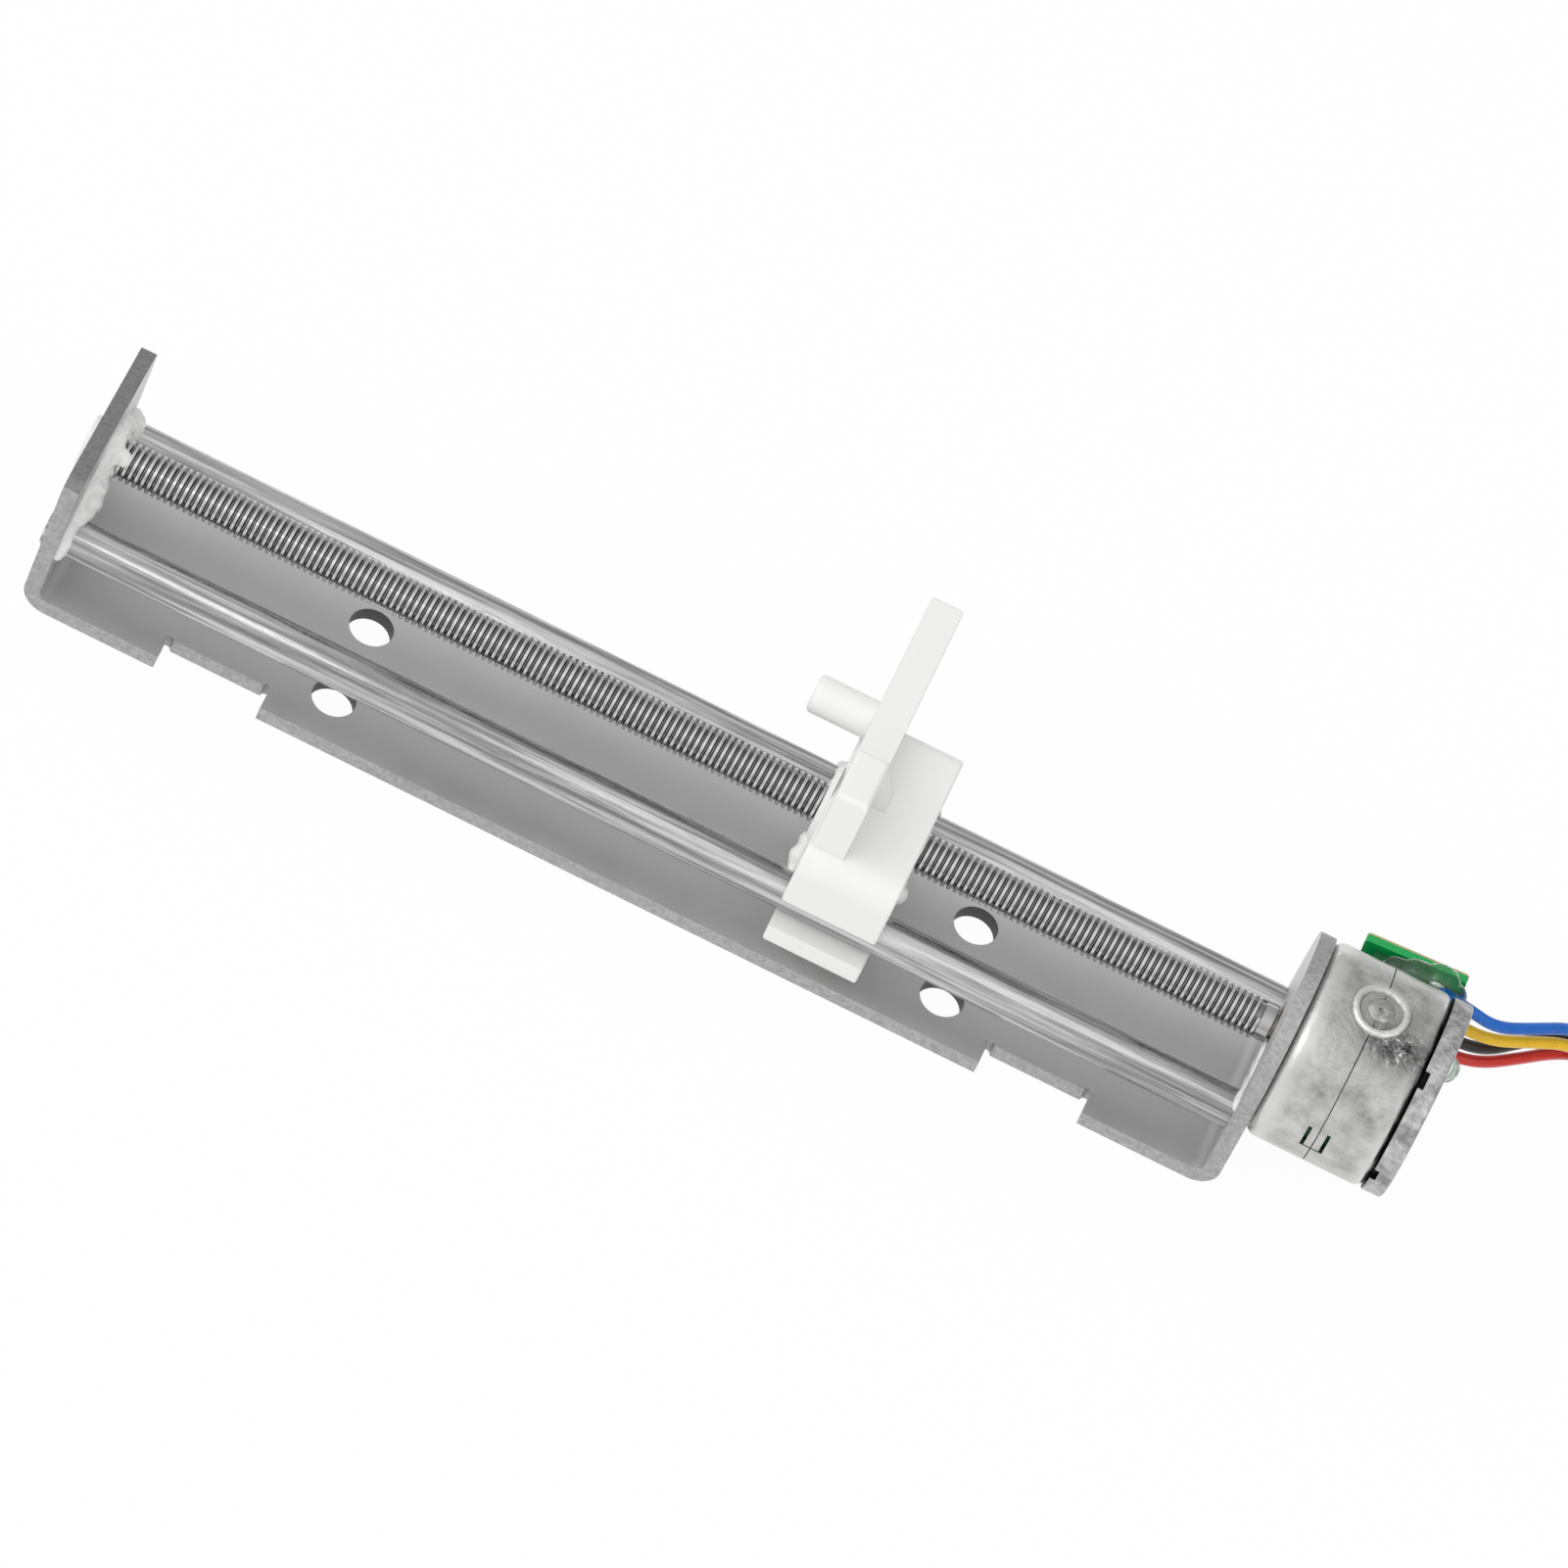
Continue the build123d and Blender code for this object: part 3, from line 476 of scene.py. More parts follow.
def turned_steel_disc():
    """Thick steel disc with a plated skin, its turned rim left grainy: duller than the drawn can."""
    colour = tuple(colours().zinc)
    finish, tree, shader, place = new_finish("Turned steel disc", colour, 1.0, 0.42)
    grain = uneven_gloss(
        tree, shader, place, {"Scale": 1000 / 0.45, "Detail": 6, "Roughness": 0.75}, (0.3, 0.7), (0.34, 0.6)
    )
    patches = node(
        tree, "ShaderNodeTexNoise", {"Scale": 1000 / 1.6, "Detail": 4, "Roughness": 0.6}, {"Vector": place}
    )
    mottled = node(tree, "ShaderNodeMath", links={0: patches, 1: grain}, operation="ADD")
    mottled = node(tree, "ShaderNodeMapRange", {"From Min": 0.8, "From Max": 1.2}, {"Value": mottled})
    shade = node(tree, "ShaderNodeMix", {6: scaled(colour, 0.4), 7: colour}, {0: mottled}, data_type="RGBA")
    # The flat back is wiped clean and more even than the rim.
    facing = face_directions(tree)
    back = node(tree, "ShaderNodeMath", {1: 0.7}, {0: facing["X"]}, operation="GREATER_THAN")
    back = node(tree, "ShaderNodeMath", {1: 0.65}, {0: back}, operation="MULTIPLY")
    shade = node(
        tree, "ShaderNodeMix", {7: scaled(colour, 0.72)}, {0: back, 6: shade.outputs[2]}, data_type="RGBA"
    )
    # Painted shade: inside the stake notches, in front of the disc's rounded back edge, the metal is painted
    # near black.
    reach = axis_distance(tree, place)
    sunk = node(tree, "ShaderNodeMath", {1: (CAN_RADIUS - 0.06) * MM}, {0: reach}, operation="LESS_THAN")
    spot = node(tree, "ShaderNodeSeparateXYZ", links={"Vector": place}).outputs
    back_edge = (MOTOR_END_X - 0.5) * MM
    forward = node(tree, "ShaderNodeMath", {1: back_edge}, {0: spot["X"]}, operation="LESS_THAN")
    notch_shade = node(tree, "ShaderNodeMath", links={0: sunk, 1: forward}, operation="MULTIPLY")
    shade = node(
        tree, "ShaderNodeMix", {7: linear("#1C1C1C")}, {0: notch_shade, 6: shade.outputs[2]}, data_type="RGBA"
    )
    tree.links.new(shade.outputs[2], shader["Base Color"])
    edge = node(tree, "ShaderNodeBevel", {"Radius": 0.15 * MM}, samples=4)
    rough = node(tree, "ShaderNodeBump", {"Distance": 0.09 * MM}, {"Height": grain, "Normal": edge})
    tree.links.new(rough.outputs[0], shader["Normal"])
    return finish


def moulded_acetal():
    """Injection moulded acetal: waxy white, light travels a little way under the skin, fine mould grain."""
    colour = tuple(colours().acetal)
    finish, tree, shader, place = new_finish(
        "Moulded white acetal", colour, 0.0, 0.42, IOR=1.48,
        Subsurface_Weight=0.15, Subsurface_Scale=0.5 * MM, Subsurface_Radius=(1.0, 1.0, 1.0),
    )
    cloud = uneven_gloss(
        tree, shader, place, {"Scale": 1000 / 2.4, "Detail": 5}, (0.3, 0.7), (0.38, 0.54)
    )
    shade = node(
        tree, "ShaderNodeMix", {6: scaled(colour, 0.985), 7: scaled(colour, 1.01)}, {0: cloud},
        data_type="RGBA",
    )
    tree.links.new(shade.outputs[2], shader["Base Color"])
    # Spark-eroded mould texture, 0.16 mm.
    texture = node(tree, "ShaderNodeTexNoise", {"Scale": 1000 / 0.16, "Detail": 2}, {"Vector": place})
    edge = node(tree, "ShaderNodeBevel", {"Radius": 0.15 * MM}, samples=4)
    skin = node(tree, "ShaderNodeBump", {"Distance": 0.004 * MM}, {"Height": texture, "Normal": edge})
    tree.links.new(skin.outputs[0], shader["Normal"])
    return finish


def glass_fibre_board():
    """Solder mask over woven glass laminate: glossy green, with the bare laminate showing tan only along
    the outer corner of its edges."""
    green = tuple(colours().board)
    finish, tree, shader, place = new_finish("Green solder mask on glass laminate", green, 0.0, 0.22, IOR=1.5)
    spot = node(tree, "ShaderNodeSeparateXYZ", links={"Vector": place}).outputs
    facing = face_directions(tree)
    facing_y = node(tree, "ShaderNodeMath", links={0: facing["Y"]}, operation="ABSOLUTE")
    side = node(tree, "ShaderNodeMath", {1: 0.7}, {0: facing_y}, operation="LESS_THAN")
    corner = (BOARD_FACE_Y - 0.16) * MM
    outer = node(tree, "ShaderNodeMath", {1: corner}, {0: spot["Y"]}, operation="GREATER_THAN")
    bare = node(tree, "ShaderNodeMath", links={0: side, 1: outer}, operation="MULTIPLY")
    shade = node(tree, "ShaderNodeMix", {6: green, 7: linear("#B8A77C")}, {0: bare}, data_type="RGBA")
    tree.links.new(shade.outputs[2], shader["Base Color"])
    gloss = node(tree, "ShaderNodeMapRange", {"To Min": 0.2, "To Max": 0.7}, {"Value": bare})
    tree.links.new(gloss.outputs[0], shader["Roughness"])
    # The weave shows through the mask as a soft 0.4 mm unevenness.
    weave = node(tree, "ShaderNodeTexNoise", {"Scale": 1000 / 0.4, "Detail": 3}, {"Vector": place})
    skin = node(tree, "ShaderNodeBump", {"Distance": 0.02 * MM}, {"Height": weave})
    tree.links.new(skin.outputs[0], shader["Normal"])
    return finish


def vinyl(name, colour):
    """Extruded soft vinyl insulation: smooth and glossy, with faint scuffs and the strands felt below."""
    finish, tree, shader, place = new_finish(name, colour, 0.0, 0.3, IOR=1.53)
    cloud = uneven_gloss(
        tree, shader, place, {"Scale": 1000 / 0.8, "Detail": 4}, (0.3, 0.7), (0.24, 0.42)
    )
    shade = node(
        tree, "ShaderNodeMix", {6: scaled(colour, 0.88), 7: scaled(colour, 1.1)}, {0: cloud}, data_type="RGBA"
    )
    tree.links.new(shade.outputs[2], shader["Base Color"])
    strands = node(tree, "ShaderNodeTexNoise", {"Scale": 1000 / 0.3, "Detail": 2}, {"Vector": place})
    skin = node(tree, "ShaderNodeBump", {"Distance": 0.008 * MM}, {"Height": strands})
    tree.links.new(skin.outputs[0], shader["Normal"])
    return finish


def smooth_solder():
    """Tin solder that froze smooth, with a dull skin of flux in places."""
    finish, tree, shader, place = new_finish("Tin solder", linear("#C4C5C6"), 1.0, 0.22)
    uneven_skin(tree, shader, place, 0.35, 3, (0.4, 0.7), (0.16, 0.5), 0.015)
    return finish


def silicone_grease():
    """White damping grease: a soft wet paste with ridges where it was wiped on."""
    finish, tree, shader, place = new_finish("White silicone grease", linear("#ECECEB"), 0.0, 0.3, IOR=1.41)
    uneven_skin(tree, shader, place, 0.45, 4, (0.3, 0.7), (0.2, 0.46), 0.04)
    return finish


def clear_glue():
    """Clear flexible adhesive: a glossy skin with rounded flow marks over a body that hardly bends the light,
    since it wets what it covers."""
    finish, tree, shader, place = new_finish(
        "Clear flexible adhesive", linear("#DDF3E4"), 0.0, 0.05, IOR=1.12,
        Transmission_Weight=1.0, Coat_Weight=1.0, Coat_Roughness=0.05,
    )
    flow = node(tree, "ShaderNodeTexNoise", {"Scale": 1000 / 0.9, "Detail": 2}, {"Vector": place})
    wavy = node(tree, "ShaderNodeBump", {"Distance": 0.05 * MM}, {"Height": flow})
    tree.links.new(wavy.outputs[0], shader["Normal"])
    return finish


def moulded_nylon(name="Black glass-filled nylon", shade="#1B1B1C"):
    """Glass-filled nylon: matt, with a faint fibre mottle."""
    finish, tree, shader, place = new_finish(name, linear(shade), 0.0, 0.5)
    uneven_skin(tree, shader, place, 0.25, 3, (0.3, 0.7), (0.42, 0.62), 0.006)
    return finish


def bobbin_nylon():
    """The bobbins' nylon is green, a little darker than the board."""
    return moulded_nylon("Green glass-filled nylon", "#0A5E32")


def magnet_wire():
    """Enamelled copper wire wound in layers, its turns drawn coarser than they are so that they show."""
    finish, tree, shader, place = new_finish("Enamelled copper winding", linear("#B4602F"), 1.0, 0.3)
    # Bands 1.57 mm apart. At scale 1 the node draws 20 of them in a length of 2 pi.
    turns = node(
        tree, "ShaderNodeTexWave", {"Scale": 2 * math.pi / 20 * 1000 / 1.57, "Distortion": 0.4},
        {"Vector": place}, bands_direction="X",
    )
    rounds = node(tree, "ShaderNodeBump", {"Distance": 0.06 * MM}, {"Height": turns.outputs["Fac"]})
    tree.links.new(rounds.outputs[0], shader["Normal"])
    return finish


def sintered_bronze():
    """Oil-filled sintered bronze: dull grey brown with fine pores."""
    finish, tree, shader, place = new_finish("Sintered bronze", linear("#8E7B62"), 1.0, 0.42)
    uneven_skin(tree, shader, place, 0.12, 3, (0.3, 0.6), (0.6, 0.34), 0.01)
    return finish


def ferrite_magnet():
    """Ground ferrite: charcoal with a fine sparkle."""
    finish, tree, shader, place = new_finish("Ground ferrite magnet", linear("#2B2C2E"), 0.2, 0.45)
    uneven_gloss(tree, shader, place, {"Scale": 1000 / 0.1, "Detail": 2}, (0.35, 0.65), (0.55, 0.35))
    return finish


def polymer_film():
    """Thin polyester film: pale, glossy and slightly creased."""
    finish, tree, shader, place = new_finish("Polyester film", linear("#E4E5E4"), 0.0, 0.25)
    crease = node(tree, "ShaderNodeTexNoise", {"Scale": 1000 / 0.6, "Detail": 2}, {"Vector": place})
    skin = node(tree, "ShaderNodeBump", {"Distance": 0.02 * MM}, {"Height": crease})
    tree.links.new(skin.outputs[0], shader["Normal"])
    return finish


FINISH_MAKERS = {
    "zinc": zinc_plated_sheet, "rod": ground_rod, "thread": rolled_thread, "can": nickel_plated_can,
    "stake": staked_nickel, "disc": turned_steel_disc, "acetal": moulded_acetal,
    "board": glass_fibre_board, "solder": smooth_solder, "grease": silicone_grease, "glue": clear_glue,
    "nylon": moulded_nylon, "bobbin": bobbin_nylon, "winding": magnet_wire, "bronze": sintered_bronze,
    "ferrite": ferrite_magnet, "film": polymer_film,
}
_made = {}


def finish_of(key):
    """Each finish is made once and then shared."""
    if key not in _made:
        _made[key] = FINISH_MAKERS[key]()
    return _made[key]


def dress(key, *node_names):
    """Gives CAD nodes their finish."""
    for node_name in node_names:
        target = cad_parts[node_name]
        target.data.materials.clear()
        target.data.materials.append(finish_of(key))


# Meshes

def new_object(name, mesh, body, finish):
    """Links a finished mesh, gives it its finish and lets it ride on a body."""
    made = bpy.data.objects.new(name, mesh)
    bpy.context.scene.collection.objects.link(made)
    made.data.materials.append(finish)
    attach(made, body)
    return made


def mesh_from(name, bm, smooth_angle=None):
    """Turns a bmesh into a mesh, with soft shading below smooth_angle degrees."""
    mesh = bpy.data.meshes.new(name)
    bm.normal_update()
    bm.to_mesh(mesh)
    bm.free()
    if smooth_angle is not None:
        mesh.shade_smooth()
        mesh.set_sharp_from_angle(angle=math.radians(smooth_angle))
    return mesh


def bridge(bm, rings):
    """Joins each ring of points to the next by a band of faces. A ring may be one point, repeated."""
    for first, second in zip(rings, rings[1:]):
        for i in range(len(first)):
            j = (i + 1) % len(first)
            bm.faces.new(tuple(dict.fromkeys((first[i], first[j], second[j], second[i]))))


def lathe(bm, points, steps):
    """Revolves (x, radius) points, in millimetres, about the screw's axis."""
    rings = []
    for x, radius in points:
        if radius == 0:
            rings.append([bm.verts.new((x * MM, 0, AXIS_Z * MM))] * steps)
            continue
        ring = []
        for i in range(steps):
            angle = 2 * math.pi * i / steps
            y, z = radius * math.cos(angle), AXIS_Z + radius * math.sin(angle)
            ring.append(bm.verts.new((x * MM, y * MM, z * MM)))
        rings.append(ring)
    bridge(bm, rings)


def lump(name, balls, voxel_mm, ripple_mm, body, finish):
    """Balls of (x, y, z, and three radii) in millimetres, flowed together into one uneven soft lump."""
    bm = bmesh.new()
    for x, y, z, rx, ry, rz in balls:
        place = Matrix.Translation((x * MM, y * MM, z * MM)) @ Matrix.Diagonal((rx * MM, ry * MM, rz * MM, 1))
        bmesh.ops.create_icosphere(bm, subdivisions=3, radius=1, matrix=place)
    raw = bpy.data.objects.new(name + "_balls", mesh_from(name + "_balls", bm))
    bpy.context.scene.collection.objects.link(raw)
    merge = raw.modifiers.new("Merge", "REMESH")
    merge.mode = "VOXEL"
    merge.voxel_size = voxel_mm * MM
    soften = raw.modifiers.new("Soften", "SMOOTH")
    soften.factor = 0.5
    soften.iterations = 8
    ripple_length = 0.9 * MM
    shape = bpy.data.meshes.new_from_object(raw.evaluated_get(bpy.context.evaluated_depsgraph_get()))
    bpy.data.objects.remove(raw)
    shape.name = name
    pushes = [v.normal * ripple_mm * MM * noise.noise(v.co / ripple_length) for v in shape.vertices]
    for vertex, push in zip(shape.vertices, pushes):
        vertex.co += push
    shape.shade_smooth()
    return new_object(name, shape, body, finish)


# Operators

class AddStage(bpy.types.Operator):
    """Add the pale floor, the studio light and the camera"""

    bl_idname = "slide.add_stage"
    bl_label = "Stage"

    def execute(self, context):
        scene = context.scene
        scene.view_settings.view_transform = "Standard"
        self.add_camera(scene)
        self.add_floor()
        self.add_world(scene)
        self.add_lamps()
        return {"FINISHED"}

    def add_camera(self, scene):
        """The photograph's view: a long lens from above, rolled so that the slide runs down to the right."""
        roll = math.radians(26.25)
        elevation = math.radians(50.3)
        distance = 820.0
        pixels_per_mm = 14.5
        target = Vector((7.27, 0.05, 10.24))
        along = Vector((0, math.cos(elevation), -math.sin(elevation)))
        upright = Vector((0, math.sin(elevation), math.cos(elevation)))
        right = math.cos(roll) * Vector((1, 0, 0)) + math.sin(roll) * upright
        up = -math.sin(roll) * Vector((1, 0, 0)) + math.cos(roll) * upright
        data = bpy.data.cameras.new("Camera")
        data.sensor_width = 36.0
        data.lens = data.sensor_width * pixels_per_mm * distance / IMAGE_SIZE
        data.clip_start = 0.05
        data.clip_end = 20.0
        camera = bpy.data.objects.new("Camera", data)
        axes = Matrix((right, up, -along)).transposed().to_4x4()
        camera.matrix_world = Matrix.Translation((target - along * distance) * MM) @ axes
        scene.collection.objects.link(camera)
        scene.camera = camera

    def add_floor(self):
        """A white paper sweep, lit evenly as far as the camera, reflections and clear glue can see."""
        bm = bmesh.new()
        bmesh.ops.create_grid(bm, x_segments=1, y_segments=1, size=3.0)
        # A hair below the bracket's underside, so that the two faces don't share a plane.
        bmesh.ops.translate(bm, verts=bm.verts, vec=(0, 0, -0.02 * MM))
        floor = bpy.data.objects.new("floor", mesh_from("floor", bm))
        bpy.context.scene.collection.objects.link(floor)
        finish = bpy.data.materials.new("White paper sweep")
        finish.use_nodes = True
        tree = finish.node_tree
        tree.nodes.clear()
        path = node(tree, "ShaderNodeLightPath").outputs
        seen = path["Is Camera Ray"]
        for ray in ("Is Transmission Ray", "Is Glossy Ray"):
            seen = node(tree, "ShaderNodeMath", links={0: seen, 1: path[ray]}, operation="MAXIMUM")
        amount = node(tree, "ShaderNodeMath", {1: 0.96}, {0: seen}, operation="MULTIPLY")
        paper = node(tree, "ShaderNodeBsdfDiffuse", {"Color": linear("#F2F2F2")})
        glow = node(tree, "ShaderNodeEmission", {"Color": (1, 1, 1, 1), "Strength": 1.0})
        mix = node(tree, "ShaderNodeMixShader", links={0: amount, 1: paper, 2: glow})
        node(tree, "ShaderNodeOutputMaterial", links={"Surface": mix})
        floor.data.materials.append(finish)

    def add_world(self, scene):
        """A white studio: bright overhead, to the left and behind the camera, greyer low down and beyond."""
        world = bpy.data.worlds.new("Studio")
        scene.world = world
        world.use_nodes = True
        tree = world.node_tree
        tree.nodes.clear()
        way = node(tree, "ShaderNodeTexCoord").outputs["Generated"]
        parts = node(tree, "ShaderNodeSeparateXYZ", links={"Vector": way}).outputs
        height = node(tree, "ShaderNodeValToRGB", links={"Fac": parts["Z"]})
        self.set_stops(height, ((0.0, 0.55), (0.3, 0.78), (0.75, 1.0), (1.0, 1.0)))
        depth = node(tree, "ShaderNodeMapRange", {"From Min": -1.0, "From Max": 1.0}, {"Value": parts["Y"]})
        beyond = node(tree, "ShaderNodeValToRGB", links={"Fac": depth})
        self.set_stops(beyond, ((0.0, 1.0), (0.5, 0.95), (0.8, 0.6), (1.0, 0.75)))
        level = node(tree, "ShaderNodeMath", links={0: height, 1: beyond}, operation="MULTIPLY")
        side = node(
            tree, "ShaderNodeMapRange",
            {"From Min": -1.0, "From Max": 1.0, "To Min": 1.3 * ROOM_LEVEL, "To Max": 0.7 * ROOM_LEVEL},
            {"Value": parts["X"]},
        )
        level = node(tree, "ShaderNodeMath", links={0: level, 1: side}, operation="MULTIPLY")
        room = node(tree, "ShaderNodeBackground", {"Color": (1, 1, 1, 1)}, {"Strength": level})
        white = node(tree, "ShaderNodeBackground", {"Color": (1, 1, 1, 1), "Strength": 1.0})
        path = node(tree, "ShaderNodeLightPath").outputs["Is Camera Ray"]
        mix = node(tree, "ShaderNodeMixShader", links={0: path, 1: room, 2: white})
        node(tree, "ShaderNodeOutputWorld", links={"Surface": mix})

    def set_stops(self, ramp, stops):
        """Greys of a colour ramp, as (place, level) pairs."""
        elements = ramp.color_ramp.elements
        while len(elements) < len(stops):
            elements.new(0.5)
        for element, (place, level) in zip(elements, stops):
            element.position = place
            element.color = (level, level, level, 1)

    def add_lamps(self):
        """A large soft key from the upper left and a weak fill from the right, both on the camera's side."""
        target = Vector((0.01, 0, 0.01))
        for name, place, width, watts in (
            ("Key", (-0.3, -0.35, 0.5), 0.45, KEY_WATTS),
            ("Fill", (0.4, -0.3, 0.35), 0.4, FILL_WATTS),
        ):
            data = bpy.data.lights.new(name, "AREA")
            data.shape = "SQUARE"
            data.size = width
            data.energy = watts
            lamp = bpy.data.objects.new(name, data)
            lamp.location = place
            lamp.rotation_euler = (target - Vector(place)).to_track_quat("-Z", "Y").to_euler()
            bpy.context.scene.collection.objects.link(lamp)


class AddLeads(bpy.types.Operator):
    """Add the four leads, each from its solder pad to its tinned end in the tied coil"""

    bl_idname = "slide.add_leads"
    bl_label = "Leads"

    coil_centre = (0.081, 0.010)
    lane_spacing = 0.95 * MM
    layer_rise = 1.9 * MM

    def execute(self, context):
        lane = sizes().coil_radius
        next_lane = lane + self.lane_spacing
        shades = colours()
        # Where in the coil each lead lies, and how many degrees it is wound.
        plans = (
            ("lead_blue", next_lane, "Blue vinyl insulation", shades.blue, "blue_pvc", 507),
            ("lead_yellow", lane, "Yellow vinyl insulation", shades.yellow, "yellow_pvc", 632),
            ("lead_black", lane, "Black vinyl insulation", shades.black, "black_pvc", 620),
            ("lead_red", next_lane, "Red vinyl insulation", shades.red, "red_pvc", 517),
        )
        for name, radius, label, shade, slot_name, wound in plans:
            self.add_lead(name, radius, vinyl(label, tuple(shade)), slot_name, wound)
        return {"FINISHED"}

    def add_lead(self, name, radius, finish, slot_name, wound):
        route = LEAD_ROUTES[name]
        points = list(route) + self.coil_turns(radius, route[-1][2], wound)
        curve = bpy.data.curves.new(name + "_wire", "CURVE")
        curve.dimensions = "3D"
        curve.resolution_u = 6
        curve.bevel_depth = sizes().lead_diameter / 2
        curve.bevel_resolution = 5
        curve.use_fill_caps = True
        spline = curve.splines.new("NURBS")
        spline.points.add(len(points) - 1)
        for point, place in zip(spline.points, points):
            point.co = (*place, 1.0)
        spline.order_u = 3
        spline.use_endpoint_u = True
        lead = bpy.data.objects.new(name + "_wire", curve)
        bpy.context.scene.collection.objects.link(lead)
        lead.data.materials.append(finish)
        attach(lead, "frame")
        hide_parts(name, "lead_coil")
        tip = self.add_tip(name + "_tip", points[-2], points[-1])

    def coil_turns(self, radius, low, wound):
        """Corners of the coil's polygon, which the spline touches halfway between them."""
        step = 30
        half_step = math.radians(step / 2)
        corner = radius / math.cos(half_step)
        cx, cy = self.coil_centre
        points = [(cx - radius * math.tan(half_step), cy + radius, low)]
        angle = step / 2
        # The last corner stays 8 degrees or more away from the end.
        while angle < wound - 8:
            points.append(self.on_coil(corner, angle, low))
            angle += step
        points.append(self.on_coil(radius, wound, low))
        return points

    def on_coil(self, radius, wound, low):
        """A point wound degrees round from the coil's far side. Each turn climbs one layer at its end."""
        climb_start, climb_length = 265, 60
        cx, cy = self.coil_centre
        turn = math.radians(90 - wound)
        climbed = (wound % 360 - climb_start) / climb_length
        layers = math.floor(wound / 360) + min(max(climbed, 0.0), 1.0)
        return (cx + radius * math.cos(turn), cy + radius * math.sin(turn), low + layers * self.layer_rise)

    def add_tip(self, name, before, end):
        """The tinned strands that stand out of the insulation, twisted and rounded at the tip."""
        start = Vector(end)
        way = (start - Vector(before)).normalized()
        side = way.orthogonal().normalized()
        other = way.cross(side)
        length = sizes().strand_length
        bundle_radius, tip_radius = 0.26 * MM, 0.12 * MM
        sunk = 0.2 * MM
        strands, twist = 7, 2.2
        bm = bmesh.new()
        rings = []
        steps, rows = 14, 16
        for row in range(rows + 1):
            share = row / rows
            radius = bundle_radius if row < rows else tip_radius
            centre = start + way * (length * share - sunk)
            ring = []
            for i in range(steps):
                angle = 2 * math.pi * i / steps
                lobes = 1 + 0.12 * math.cos(strands * (angle + twist * share))
                offset = side * math.cos(angle) + other * math.sin(angle)
                ring.append(bm.verts.new(centre + offset * radius * lobes))
            rings.append(ring)
        bridge(bm, rings)
        bm.faces.new(list(reversed(rings[0])))
        bm.faces.new(rings[-1])
        return new_object(name, mesh_from(name, bm, 50), "frame", finish_of("solder"))


